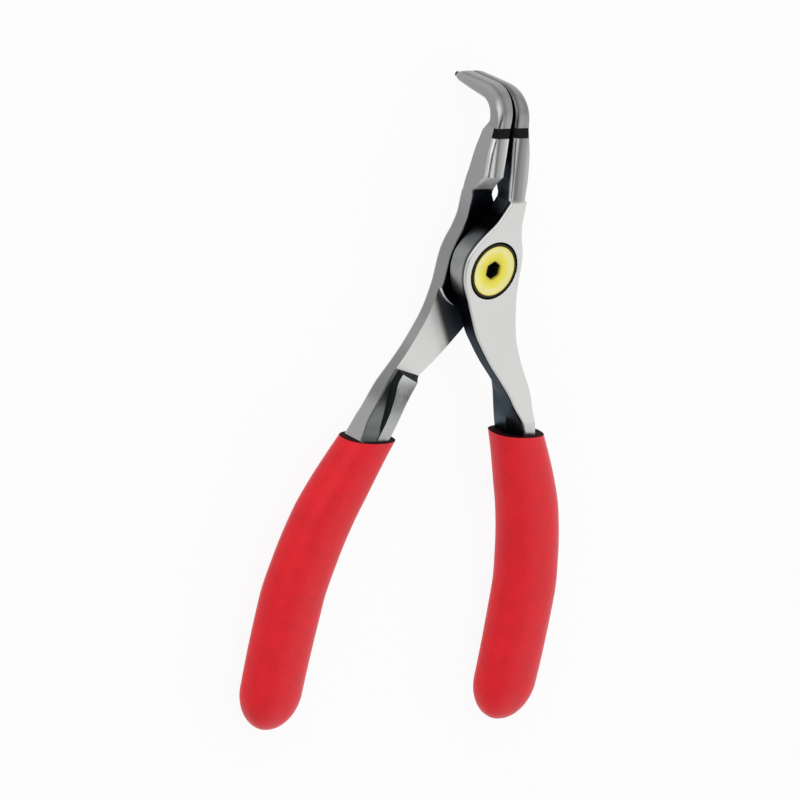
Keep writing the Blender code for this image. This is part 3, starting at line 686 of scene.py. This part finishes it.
def make_limb(name, limb, finishes, tools):
    """The forging as lofted, turned about Y for the rear limb, less the machined places."""
    side = limb.side
    straight = limb_stations()
    bm = bmesh.new()
    loft(bm, [[(side * x, y, side * z) for x, y, z in points] for points in limb_rings(limb, straight)],
         finish=lambda row, i: limb.finish(straight[row] if row < len(straight) else NOSE_REACH, i))
    item = placed(name, bm)
    for piece in (item, *tools):
        coat(piece, *finishes)
    carve(item, *tools)
    finish_edges(item)
    return item


def spring_groove(side):
    low, high = sorted((-side * OVERCUT, side * SPRING_GROOVE_DEPTH))
    inner, outer = (SPRING_RADIUS + way * (SPRING_WIRE / 2 + SPRING_ROOM) for way in (-1, 1))
    return turned("cutter", [(inner, low), (outer, low), (outer, high), (inner, high)])


def pin_hole(side):
    radius = PIN_DIAMETER / 2 + PIN_FIT
    heights = (-LEG_DEPTH - OVERCUT, -LEG_DEPTH + PIN_SEAT + PIN_FIT)
    return pegged("cutter", [(radius, z) for z in heights], side * PIN_OFFSET, PIN_Y, PIN_HOLE_STEPS, BORE)


def bore(radius, low, high):
    return pegged("cutter", [(radius, low), (radius, high)], slot=BORE)


def make_limbs(looks):
    finishes = [looks[name] for name in FINISHES]
    front = make_limb("front_forging", FRONT_LIMB, finishes, [
        relief(1),
        bore(SCREW_RADIUS + BUSH_WALL + 2 * FIT, -2 * OVERCUT, FRONT_FACE + OVERCUT),
        bore(COUNTERBORE_RADIUS, COUNTERBORE_FLOOR, FRONT_FACE + OVERCUT),
        spring_groove(1),
        pin_hole(1),
    ])
    rear = make_limb("rear_forging", REAR_LIMB, finishes, [
        relief(-1),
        bore(NUT_BARREL_RADIUS + FIT, REAR_FACE - OVERCUT, 2 * OVERCUT),
        bore(NUT_FLANGE_RADIUS + FIT, REAR_FACE - OVERCUT, REAR_FACE + NUT_FLANGE_HEIGHT + FIT),
        spring_groove(-1),
        pin_hole(-1),
    ])
    return front, rear


def grip_share(y):
    """Size of the grip's section at y as a share of its full size."""
    along = smooth([(GRIP_MOUTH, GRIP_MOUTH_SHARE), (GRIP_FULL_FROM, 1.0), (GRIP_FULL_TO, 1.0),
                    (GRIP_END, GRIP_TAIL_SHARE)])(y)
    into_end = (GRIP_END + GRIP_END_LENGTH - y) / GRIP_END_LENGTH
    return along * math.sqrt(max(0.0, 1 - into_end**2)) if into_end > 0 else along


def add_node(tree, kind, inputs=None, **settings):
    """A new node with these settings; an input is linked where a socket is given, and else set."""
    made = tree.nodes.new(kind)
    for name, value in settings.items():
        setattr(made, name, value)
    for name, given in (inputs or {}).items():
        if isinstance(given, bpy.types.NodeSocket):
            tree.links.new(given, made.inputs[name])
        else:
            made.inputs[name].default_value = given
    return made


def sweep_group():
    """Geometry Nodes: a superellipse swept along a path, whose radius gives the share of its size."""
    group = bpy.data.node_groups.new("dipped_sweep", "GeometryNodeTree")
    sockets = group.interface
    sockets.new_socket("Path", in_out="INPUT", socket_type="NodeSocketGeometry")
    for name, value in (("Width", 1.0), ("Thickness", 1.0), ("Power", 2.0)):
        sockets.new_socket(name, in_out="INPUT", socket_type="NodeSocketFloat").default_value = value
    sockets.new_socket("Sides", in_out="INPUT", socket_type="NodeSocketInt").default_value = 32
    sockets.new_socket("Material", in_out="INPUT", socket_type="NodeSocketMaterial")
    sockets.new_socket("Grip", in_out="OUTPUT", socket_type="NodeSocketGeometry")
    given = group.nodes.new("NodeGroupInput").outputs

    def maths(operation, one, two=0.5):
        return add_node(group, "ShaderNodeMath", {0: one, 1: two}, operation=operation).outputs[0]

    unit = add_node(group, "GeometryNodeCurvePrimitiveCircle", {"Resolution": given["Sides"], "Radius": 1})
    place = add_node(group, "GeometryNodeInputPosition").outputs[0]
    apart = add_node(group, "ShaderNodeSeparateXYZ", {0: place}).outputs
    exponent = maths("DIVIDE", 2.0, given["Power"])
    squared = []
    for axis, size in enumerate(("Width", "Thickness")):
        reach = maths("POWER", maths("ABSOLUTE", apart[axis]), exponent)
        signed = maths("MULTIPLY", reach, maths("SIGN", apart[axis]))
        squared.append(maths("MULTIPLY", signed, maths("MULTIPLY", given[size], 0.5)))
    corner = add_node(group, "ShaderNodeCombineXYZ", {0: squared[0], 1: squared[1]}).outputs[0]
    shape = add_node(group, "GeometryNodeSetPosition", {
        "Geometry": unit.outputs["Curve"], "Position": corner,
    })
    upright = add_node(group, "GeometryNodeSetCurveNormal", {"Curve": given["Path"]}, mode="Z_UP")
    sweep = add_node(group, "GeometryNodeCurveToMesh", {
        "Curve": upright.outputs[0], "Profile Curve": shape.outputs[0],
        "Scale": add_node(group, "GeometryNodeInputRadius").outputs[0], "Fill Caps": True,
    })
    real = add_node(group, "GeometryNodeRealizeInstances", {"Geometry": sweep.outputs[0]})
    skin = add_node(group, "GeometryNodeSetMaterial", {
        "Geometry": real.outputs[0], "Material": given["Material"],
    })
    add_node(group, "NodeGroupOutput", {"Grip": skin.outputs[0]})
    return group


def grip_path(name):
    """A straight line from the grip's mouth to its rounded end; each point's radius is the grip's size."""
    body = GRIP_MOUTH - GRIP_END - GRIP_END_LENGTH
    body_steps = GRIP_PATH_STEPS * 2 // 3
    end_steps = GRIP_PATH_STEPS - body_steps
    places = [GRIP_MOUTH - body * k / body_steps for k in range(body_steps)]
    places += [GRIP_END + GRIP_END_LENGTH * (1 - math.sin(turn)) for turn in quarter(end_steps)[:-1]]
    places.append(GRIP_END + GRIP_END_FLAT)
    curve = bpy.data.curves.new(name, "CURVE")
    curve.dimensions = "3D"
    spline = curve.splines.new("POLY")
    spline.points.add(len(places) - 1)
    for point, y in zip(spline.points, places):
        point.co = (0.0, y * MM, -REAR_FACE * MM, 1)
        point.radius = grip_share(y)
    return add_object(name, curve)


def tang_hole(limb):
    """The space of the tang inside the grip, a fit wider all round."""
    side = limb.side
    places = tang_stations()[::-1]
    rings = []
    for y in (GRIP_MOUTH + OVERCUT, *places, TANG_END - GRIP_FIT):
        section = limb.section(min(max(y, TANG_END), places[0]))
        low, high = min(x for x, z in section), max(x for x, z in section)
        middle, wide = (low + high) / 2, 1 + 2 * GRIP_FIT / (high - low)
        tall = 1 + GRIP_FIT / max(z for x, z in section)
        rings.append([(side * (middle + (x - middle) * wide), y, side * z * tall) for x, z in section])
    bm = bmesh.new()
    loft(bm, rings)
    # The hole's walls take the mouth's finish, near black as painted shade
    for face in bm.faces:
        face.material_index = GRIP_RIM
    return placed("cutter", bm)


def make_grip(name, limb, group, plastic, rim):
    """A dipped sleeve: the sweep, bent along the limb's middle line, with the tang's hole cut in; its
    mouth, the hole's walls and the mouth's broken edges are painted near black as shade.
    """
    path = grip_path(name)
    sweep = path.modifiers.new("sweep", "NODES")
    sweep.node_group = group
    values = {"Width": GRIP_WIDTH * MM, "Thickness": GRIP_THICKNESS * MM, "Power": GRIP_POWER,
              "Sides": GRIP_SIDES, "Material": plastic}
    for socket in group.interface.items_tree:
        if socket.in_out == "INPUT" and socket.name in values:
            sweep[socket.identifier] = values[socket.name]
    path.update_tag()
    mesh = evaluated_mesh(path)
    bpy.data.objects.remove(path, do_unlink=True)
    mesh.materials.append(rim)
    # Faces at the mouth that look along the tool take the rim finish, painted near black as shade
    for face in mesh.polygons:
        face.material_index = GRIP_RIM if face.normal.y > MOUTH_FACING else 0
    for vertex in mesh.vertices:
        vertex.co.x += limb.side * grip_middle(vertex.co.y / MM) * MM
    hole = tang_hole(limb)
    coat(hole, plastic, rim)
    item = add_object(name, mesh)
    carve(item, hole)
    finish_edges(item, GRIP_EDGE, GRIP_SHARP_ANGLE, GRIP_RIM)
    return item


def make_pin(name, side):
    """A hardened wire tip, its free end rounded over."""
    radius = PIN_DIAMETER / 2
    end = -LEG_DEPTH - PIN_OUT
    nose = [(radius * math.sin(turn), end + PIN_NOSE * (1 - math.cos(turn))) for turn in PIN_NOSE_TURNS]
    item = pegged(name, [*nose, (radius, end + PIN_NOSE), (radius, -LEG_DEPTH + PIN_SEAT)],
                  side * PIN_OFFSET, PIN_Y, PIN_STEPS)
    finish_edges(item, 0)
    return item


def make_screw():
    """The pivot screw, of which the head with its hexagon socket shows under the cap."""
    item = pegged("socket_screw", [
        (SCREW_RADIUS - SCREW_CHAMFER, REAR_FACE), (SCREW_RADIUS, REAR_FACE + SCREW_CHAMFER),
        (SCREW_RADIUS, HEAD_BOTTOM), (SCREW_HEAD_RADIUS, HEAD_BOTTOM), (SCREW_HEAD_RADIUS, HEAD_TOP),
    ])
    carve(item, hexagon(HEX_ACROSS_FLATS, HEAD_TOP - HEX_DEPTH, HEAD_TOP + OVERCUT))
    finish_edges(item, TURNED_EDGE)
    return item


def make_cap(face_look, rim_look):
    """The coloured cap: a narrow rim painted dark as shade, a dished face and a hexagon hole in its middle.
    """
    skirt = SCREW_HEAD_RADIUS + FIT
    bottom = HEAD_TOP + FIT
    foot = HEAD_BOTTOM + CAP_LIFT
    shares = [k / DISH_STEPS for k in range(DISH_STEPS + 1)]
    dish = [(CAP_HOLE + (CAP_FACE_RADIUS - CAP_HOLE) * share,
             DISC_TOP - DISC_DISH * (1 + math.cos(math.pi * share**DISH_POWER)) / 2) for share in shares]
    lip = [(DISC_RADIUS - CAP_LIP * (1 - math.sin(turn)), DISC_TOP - CAP_LIP * (1 - math.cos(turn)))
           for turn in quarter(ROUND_STEPS)]
    item = turned("pivot_cap", [*dish, *lip, (DISC_RADIUS, foot), (skirt, foot), (skirt, bottom),
                                (CAP_HOLE, bottom)])
    # Faces out past the dished face take the rim's dark painted shade
    for face in item.data.polygons:
        outward = Vector(face.center[:2]).length
        face.material_index = 1 if outward > CAP_FACE_RADIUS * MM else 0
    coat(item, face_look, rim_look)
    carve(item, hexagon(HEX_ACROSS_FLATS + 2 * DISC_HEX_MARGIN, bottom - OVERCUT, DISC_TOP + OVERCUT))
    finish_edges(item, TURNED_EDGE)
    return item


def make_nut():
    """The threaded collar in the back of the rear limb, with two holes for a pin spanner."""
    hole = SCREW_RADIUS + FIT
    step = REAR_FACE + NUT_FLANGE_HEIGHT
    item = turned("collar_nut", [
        (hole, REAR_FACE), (NUT_FLANGE_RADIUS - NUT_CHAMFER, REAR_FACE),
        (NUT_FLANGE_RADIUS, REAR_FACE + NUT_CHAMFER), (NUT_FLANGE_RADIUS, step), (NUT_BARREL_RADIUS, step),
        (NUT_BARREL_RADIUS, NUT_TOP), (hole, NUT_TOP),
    ])
    middle = (hole + NUT_FLANGE_RADIUS) / 2
    heights = (REAR_FACE - OVERCUT, REAR_FACE + SPANNER_HOLE_DEPTH)
    carve(item, *(pegged("cutter", [(SPANNER_HOLE_RADIUS, z) for z in heights], x, 0.0, PIN_STEPS)
                  for x in (-middle, middle)))
    finish_edges(item, NUT_EDGE)
    return item


def grey(tone):
    return (tone, tone, tone)


def sockets_of(material):
    """The sockets of a finish, by name."""
    return material.node_tree.nodes["Principled BSDF"].inputs


def surface(name, colour, metallic, roughness, grain, streak=(1, 1, 1), depth=0.02, cloud=120.0,
            spread=0.12):
    """A material with fine grain in its relief and slow clouds in its colour and roughness.

    grain is how many grains lie in a metre, streak stretches them along an axis, depth is their relief in
    millimetres, cloud is the clouds' number in a metre, and spread is how far the colour wanders.
    """
    material = bpy.data.materials.new(name)
    material.use_nodes = True
    tree = material.node_tree
    where = add_node(tree, "ShaderNodeTexCoord").outputs["Object"]
    stretched = add_node(tree, "ShaderNodeMapping", {"Vector": where, "Scale": streak}).outputs[0]
    fine, clouds = (
        add_node(tree, "ShaderNodeTexNoise", {"Vector": place, "Scale": size, "Detail": detail}).outputs[0]
        for place, size, detail in ((stretched, grain, GRAIN_DETAIL), (where, cloud, CLOUD_DETAIL)))
    noise = add_node(tree, "ShaderNodeMix", {0: GRAIN_IN_CLOUDS, 2: clouds, 3: fine}).outputs[0]
    tone = add_node(tree, "ShaderNodeValToRGB", {0: noise})
    for element, place, way in zip(tone.color_ramp.elements, NOISE_RANGE, (-1, 1)):
        element.position = place
        element.color = (*(min(1.0, part * (1 + way * spread)) for part in colour), 1)
    dull = add_node(tree, "ShaderNodeMapRange", {
        "Value": noise, "From Min": NOISE_RANGE[0], "From Max": NOISE_RANGE[1],
        "To Min": roughness - ROUGHNESS_SPREAD, "To Max": roughness + ROUGHNESS_SPREAD,
    })
    bump = add_node(tree, "ShaderNodeBump", {"Height": fine, "Strength": 1.0, "Distance": depth * MM})
    sockets = sockets_of(material)
    sockets["Metallic"].default_value = metallic
    for socket, node in (("Base Color", tone), ("Roughness", dull), ("Normal", bump)):
        tree.links.new(node.outputs[0], sockets[socket])
    return material


def place_reading(tree, kind):
    """A place on the tool in millimetres: along, across, up, out from the pivot or into the joint."""
    def maths(operation, one, two=(0, 0, 0)):
        made = add_node(tree, "ShaderNodeVectorMath", {0: one, 1: two}, operation=operation)
        return made.outputs["Value" if operation in ("LENGTH", "DOT_PRODUCT") else "Vector"]

    where = add_node(tree, "ShaderNodeTexCoord").outputs["Object"]
    if kind in AXES:
        return maths("DOT_PRODUCT", where, Vector(AXES[kind]) / MM)
    if kind == "out":
        return maths("LENGTH", maths("MULTIPLY", where, Vector((1, 1, 0)) / MM))
    sideways = maths("ABSOLUTE", maths("MULTIPLY", where, AXES["across"]))
    across = maths("DOT_PRODUCT", sideways, Vector(AXES["across"]) * INTO_JOINT[0] / MM)
    along = maths("DOT_PRODUCT", where, Vector(AXES["along"]) * INTO_JOINT[1] / MM)
    return add_node(tree, "ShaderNodeMath", {0: across, 1: along}).outputs[0]


def place_ramp(tree, kind, stops):
    """A colour that follows a place on the tool through (place, colour) stops."""
    low, high = stops[0][0], stops[-1][0]
    reading = place_reading(tree, kind)
    share = add_node(tree, "ShaderNodeMapRange", {"Value": reading, "From Min": low, "From Max": high})
    ramp = add_node(tree, "ShaderNodeValToRGB", {0: share.outputs[0]})
    ramp.color_ramp.interpolation = "EASE"
    elements = ramp.color_ramp.elements
    for place, colour in stops[1:-1]:
        elements.new((place - low) / (high - low)).color = (*colour, 1)
    elements[0].color = (*stops[0][1], 1)
    elements[-1].color = (*stops[-1][1], 1)
    return ramp.outputs[0]


def level_share(tree):
    """How level a face lies: 1 where it faces straight up or down, and 0 where it stands upright."""
    normal = add_node(tree, "ShaderNodeNewGeometry").outputs["Normal"]
    height = add_node(tree, "ShaderNodeSeparateXYZ", {0: normal}).outputs["Z"]
    return add_node(tree, "ShaderNodeMath", {0: height}, operation="ABSOLUTE").outputs[0]


def colour_mix(tree, share, one, two, blend="MIX"):
    """Colour one where share is 0, and colour two, blended with it, where share is 1."""
    # A mix node has its colours at sockets 6 and 7, and gives the mixed colour at 2
    inputs = {0: share, 6: one, 7: two}
    return add_node(tree, "ShaderNodeMix", inputs, data_type="RGBA", blend_type=blend).outputs[2]


def tinted(material, kind, stops, flat=None):
    """Tint a finish by place; with flat given, level faces take that colour and upright ones the tint."""
    tree = material.node_tree
    base = sockets_of(material)["Base Color"]
    untinted = base.links[0].from_socket
    tint = place_ramp(tree, kind, stops)
    if flat is not None:
        tint = colour_mix(tree, level_share(tree), tint, (*flat, 1))
    tree.links.new(colour_mix(tree, 1.0, tint, untinted, "MULTIPLY"), base)


def greys(*stops):
    return [(place, grey(tone)) for place, tone in stops]


def forging_finishes():
    """The finishes of the two limbs."""
    return {
        # forged, nose and jaw: their tints paint light and shade
        "forged": surface("tumbled_forging", (0.94, 0.96, 0.94), 1.0, 0.46, 2600, depth=0.03, cloud=180,
                          spread=0.1),
        "ground": surface("ground_steel", GROUND_TONE, 1.0, 0.4, 5200, (1, 0.1, 1), 0.006, 90, 0.06),
        # lap: its tints paint shade and a reflection
        "lap": surface("lap_painted_shade", grey(0.8), 1.0, 0.36, 3600, (1, 0.3, 1), 0.01, 130, 0.25),
        "band": surface("black_paint", (0.004, 0.004, 0.005), 0.0, 0.7, 3000, depth=0.03, spread=0.3),
        "bore": surface("bored_steel", grey(0.05), 1.0, 0.35, 4200, (1, 1, 4), 0.01),
        "nose": surface("tumbled_nose", (0.95, 0.97, 0.98), 1.0, 0.3, 3000, (1, 0.3, 1), 0.02, 150, 0.14),
        "jaw": surface("satin_jaw", (0.96, 0.95, 0.94), 1.0, 0.26, 4200, (1, 0.15, 1), 0.01, 150, 0.08),
        # scale: black painted shade for the step and flute walls
        "scale": surface("black_painted_shade", (0.008, 0.012, 0.013), 0.6, 0.6, 1800, depth=0.05, cloud=250,
                         spread=0.4),
        "ridge": surface("filed_ridge", (0.4, 0.41, 0.4), 1.0, 0.4, 2200, (1, 0.3, 1), 0.03, 200, 0.2),
        "land": surface("dull_land", (0.1, 0.106, 0.1), 1.0, 0.42, 2200, (1, 0.3, 1), 0.03, 200, 0.2),
        # swept: its tint paints the front limb's shadow into the joint
        "swept": surface("swept_floor", GROUND_TONE, 1.0, 0.4, 5200, (1, 0.1, 1), 0.006, 90, 0.06),
        # ramp: its tint paints shade towards the ramp's foot
        "ramp": surface("sanded_ramp", (0.6, 0.6, 0.58), 0.4, 0.45, 2600, (1, 0.5, 1), 0.03, 200, 0.15),
        # brim: the boss wall painted near white, hardly metallic, as light where it lies in shade
        "brim": surface("brim_painted_light", (0.95, 0.97, 0.98), 0.1, 0.4, 4200, (1, 1, 3), 0.01, 150, 0.05),
    }


def fitting_finishes():
    """The finishes of the pins, the grips and the pivot."""
    return {
        "pin": surface("hardened_pin", (0.02, 0.02, 0.022), 1.0, 0.34, 5000, (1, 1, 5), 0.01),
        "grip": surface("dipped_plastic", (0.8, 0.012, 0.022), 0.0, 0.5, 1300, depth=0.07, cloud=190),
        # rim: red-black painted shade in and round the grip's mouth
        "rim": surface("grip_mouth_painted_shade", (0.02, 0.001, 0.002), 0.0, 0.8, 1500, depth=0.05, cloud=200,
                       spread=0.3),
        "cap": surface("cap_plastic", (0.98, 0.9, 0.9), 0.0, 0.34, 2600, depth=0.012, cloud=260,
                       spread=0.06),
        # The cap's rim: dark olive painted shade
        "cap_rim_painted_shade": surface("cap_rim_painted_shade", (0.022, 0.02, 0.003), 0.0, 0.5, 2600, depth=0.01, cloud=260,
                            spread=0.3),
        "screw": surface("blackened_screw", (0.03, 0.025, 0.02), 0.8, 0.42, 3500, depth=0.01, spread=0.25),
        "bright": surface("turned_steel", (0.5, 0.5, 0.49), 1.0, 0.32, 4200, (1, 1, 3), 0.008, spread=0.06),
        "bronze": surface("bush_bronze", (0.45, 0.27, 0.1), 1.0, 0.4, 3200, depth=0.015),
        "spring": surface("spring_wire", (0.2, 0.2, 0.21), 1.0, 0.3, 3800, (1, 1, 4), 0.008),
    }


def tint_lap(lap):
    """Painted shade and reflection on the lap's walls: dark along the shank and in the throat, a painted
    reflection bright round the boss, level lap faces painted black, and painted shade along the top of the
    front limb's wall.
    """
    slate, throat, black = (0.06, 0.078, 0.096), (0.17, 0.2, 0.23), SHADE_BLACK
    tinted(lap, "along", [
        (-46.0, (0.13, 0.16, 0.19)), (-38.0, slate), (-32.0, (0.045, 0.053, 0.06)),
        (-22.0, (0.04, 0.045, 0.05)), (-13.0, black), (-8.0, black), (-3.0, (0.38, 0.39, 0.38)),
        (4.0, (0.36, 0.38, 0.37)), (8.0, (0.15, 0.16, 0.17)), (11.0, black), (14.0, black), (17.0, throat),
        (24.0, throat), (29.0, black), (36.0, black),
    ], black)
    # Painted shade along the top of the front limb's lap wall, under its front edge
    tinted(lap, "up", greys((0.0, 1.0), (9.5, 1.0), (10.1, 0.3), (11.1, 0.3)))
    sockets_of(lap)["Specular Tint"].default_value = (0.54, 0.58, 0.62, 1)


def tint_steps(swept, ramp):
    """Painted shadow on the swept floor, darker towards the joint where the front limb shades it, and
    painted shade on the rear limb's ramp, darker towards its foot.
    """
    tinted(swept, "into", [
        (-18.0, grey(1.0)), (-15.0, grey(0.85)), (-13.0, grey(0.12)), (-11.5, (0.13, 0.16, 0.2)),
        (-7.0, (0.06, 0.075, 0.1)), (0.0, SHADE_BLACK),
    ])
    tinted(ramp, "along", greys((19.0, 0.45), (21.0, 0.7), (23.0, 0.95), (24.5, 1.0)))


def tint_forging(forged, jaw, nose):
    """Painted light and shade: lighter and darker stretches along the forged walls, and painted highlights
    and dark strips across the jaws and noses.
    """
    tinted(forged, "along", greys(
        (-46.0, 0.42), (-38.0, 0.4), (-34.0, 0.26), (-26.0, 0.29), (-20.0, 0.36), (-12.0, 0.31),
        (10.0, 0.3), (20.0, 0.36), (34.0, 0.37), (46.0, 0.34)))
    tinted(jaw, "across", greys(
        (-7.5, 0.56), (-5.5, 0.55), (-4.5, 0.15), (-3.7, 0.29), (-2.3, 0.41), (-1.3, 0.62), (-0.6, 0.3),
        (0.6, 0.3), (1.7, 0.46), (2.7, 0.14), (4.3, 0.25), (6.2, 0.4), (7.5, 0.5)))
    tinted(nose, "across", greys(
        (-6.5, 0.28), (-4.3, 0.37), (-3.3, 0.23), (-2.4, 0.33), (-0.8, 0.33), (0.8, 0.14), (2.2, 0.31),
        (4.0, 0.26), (6.5, 0.34)))


def tint_cap(cap):
    """The cap's yellow with painted shade and light for its dish: deep round the screw, a pale painted
    highlight ring, and darker again towards the dark rim.
    """
    tinted(cap, "out", [
        (0.0, (0.5, 0.45, 0.02)), (2.2, (0.55, 0.5, 0.02)), (3.0, (0.93, 0.86, 0.05)),
        (4.2, (0.98, 0.95, 0.12)), (5.4, (1.0, 1.0, 0.42)), (6.3, (1.0, 0.95, 0.25)),
        (CAP_FACE_RADIUS, (0.7, 0.62, 0.05)),
    ])


def make_materials():
    """Every finish of the tool, by a maker's name."""
    looks = {**forging_finishes(), **fitting_finishes()}
    tint_lap(looks["lap"])
    tint_steps(looks["swept"], looks["ramp"])
    tint_forging(looks["forged"], looks["jaw"], looks["nose"])
    tint_cap(looks["cap"])
    for name, level in SHINE.items():
        sockets_of(looks[name])["Specular IOR Level"].default_value = level
    plastic = sockets_of(looks["grip"])
    plastic["Sheen Weight"].default_value = 0.95
    plastic["Sheen Roughness"].default_value = 0.4
    plastic["Sheen Tint"].default_value = (1.0, 0.42, 0.45, 1)
    return looks


def make_camera():
    """Look from far away at a place beside the pad, so that the whole tool is in the picture."""
    right = CAMERA_RIGHT.normalized()
    back = right.cross(CAMERA_UP).normalized()
    up = back.cross(right)
    target = PAD_CENTRE + right * MIDDLE_FROM_PAD[0] + up * MIDDLE_FROM_PAD[1]
    data = bpy.data.cameras.new("camera")
    data.lens = LENS
    data.sensor_width = SENSOR
    data.clip_start = NEAREST
    data.clip_end = FARTHEST
    camera = add_object("camera", data)
    turn = Matrix((right, up, back)).transposed().to_4x4()
    camera.matrix_world = Matrix.Translation(target + back * CAMERA_DISTANCE) @ turn
    bpy.context.scene.camera = camera


def seen_directly(tree):
    """1 for what the camera, a reflection or a clear piece sees, and 0 for the light that it gives."""
    path = add_node(tree, "ShaderNodeLightPath").outputs
    found = path["Is Camera Ray"]
    for name in ("Is Glossy Ray", "Is Transmission Ray"):
        found = add_node(tree, "ShaderNodeMath", {0: found, 1: path[name]}, operation="MAXIMUM").outputs[0]
    return found


def pale_floor():
    """White that glows for what sees it directly, so that it stays white without lighting the tool."""
    material = bpy.data.materials.new("pale_floor")
    material.use_nodes = True
    tree = material.node_tree
    sockets = sockets_of(material)
    sockets["Base Color"].default_value = (*grey(FLOOR_TONE), 1)
    sockets["Roughness"].default_value = FLOOR_ROUGHNESS
    glow = add_node(tree, "ShaderNodeEmission", {"Color": (*grey(1), 1)})
    share = add_node(tree, "ShaderNodeMath", {0: seen_directly(tree), 1: FLOOR_GLOW}, operation="MULTIPLY")
    plain = tree.nodes["Principled BSDF"]
    blend = add_node(tree, "ShaderNodeMixShader", {
        0: share.outputs[0], 1: plain.outputs[0], 2: glow.outputs[0],
    })
    tree.links.new(blend.outputs[0], tree.nodes["Material Output"].inputs["Surface"])
    return material


def make_stage():
    """A pale floor on which the tool lies by its tips and the ends of its grips."""
    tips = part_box("front_tip_pin")[0]
    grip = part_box("front_grip")[0]
    slope = math.atan2(grip.z - tips.z, tips.y - grip.y)
    half = FLOOR_SIZE / 2
    corners = [(-half, -half, 0), (half, -half, 0), (half, half, 0), (-half, half, 0)]
    mesh = bpy.data.meshes.new("floor")
    mesh.from_pydata(corners, [], [(0, 1, 2, 3)])
    mesh.materials.append(pale_floor())
    floor = add_object("floor", mesh)
    floor.matrix_world = (Matrix.Translation((0, tips.y, tips.z - FLOOR_DROP))
                          @ Matrix.Rotation(-slope, 4, "X"))


def area_light(name, place, power):
    data = bpy.data.lights.new(name, "AREA")
    data.shape = "SQUARE"
    data.size = LAMP_SIZE
    data.energy = power
    lamp = add_object(name, data)
    lamp.location = place
    lamp.rotation_euler = (Vector(place) - Vector(LAMP_AIM)).to_track_quat("Z", "Y").to_euler()


def make_lights():
    """The studio's walls, as reflections find them and as they give light, and its lamps."""
    world = bpy.data.worlds.new("studio")
    bpy.context.scene.world = world
    world.use_nodes = True
    tree = world.node_tree
    direction = add_node(tree, "ShaderNodeTexCoord").outputs["Generated"]
    height = add_node(tree, "ShaderNodeSeparateXYZ", {0: direction}).outputs["Z"]
    walls = add_node(tree, "ShaderNodeValToRGB", {0: height})
    walls.color_ramp.interpolation = "EASE"
    elements = walls.color_ramp.elements
    elements[0].color = (*WALLS_BELOW, 1)
    elements[1].color = (*WALLS_ABOVE, 1)
    for place, tone in WALLS:
        elements.new(place).color = (*grey(tone), 1)
    shown = colour_mix(tree, seen_directly(tree), (*WALL_LIGHT, 1), walls.outputs[0])
    tree.links.new(shown, tree.nodes["Background"].inputs["Color"])
    for name, place, power in LAMPS:
        area_light(name, place, power)


def dress():
    """Put every piece in the place of its node, on the same body, and give it its finish."""
    looks = make_materials()
    front, rear = make_limbs(looks)
    group = sweep_group()
    coats = (looks["grip"], looks["rim"])
    pieces = [
        (front, "front_limb", "front_half", "forged_steel"),
        (rear, "rear_limb", "rear_half", "forged_steel"),
        (make_grip("front_sleeve", FRONT_LIMB, group, *coats), "front_grip", "front_half", "grip_plastic"),
        (make_grip("rear_sleeve", REAR_LIMB, group, *coats), "rear_grip", "rear_half", "grip_plastic"),
        (make_pin("front_pin", 1), "front_tip_pin", "front_half", "tip_steel"),
        (make_pin("rear_pin", -1), "rear_tip_pin", "rear_half", "tip_steel"),
        (make_screw(), "pivot_screw", "rear_half", "screw_steel"),
        (make_cap(looks["cap"], looks["cap_rim_painted_shade"]), "colour_disc", "rear_half", "disc_plastic"),
        (make_nut(), "pivot_nut", "rear_half", "bright_steel"),
    ]
    one_finish = {"tip_steel": "pin", "screw_steel": "screw", "bright_steel": "bright"}
    for item, node, body, slot in pieces:
        if slot in one_finish:
            recoat(item, looks[one_finish[slot]])
        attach(item, body)
        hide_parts(node)
    kept = {"thrust_washer": "bright", "pivot_bush": "bronze", "return_spring": "spring"}
    for node, finish in kept.items():
        recoat(nodes[node], looks[finish])


make_camera()
make_stage()
make_lights()
dress()
bpy.context.scene.view_settings.view_transform = "Standard"
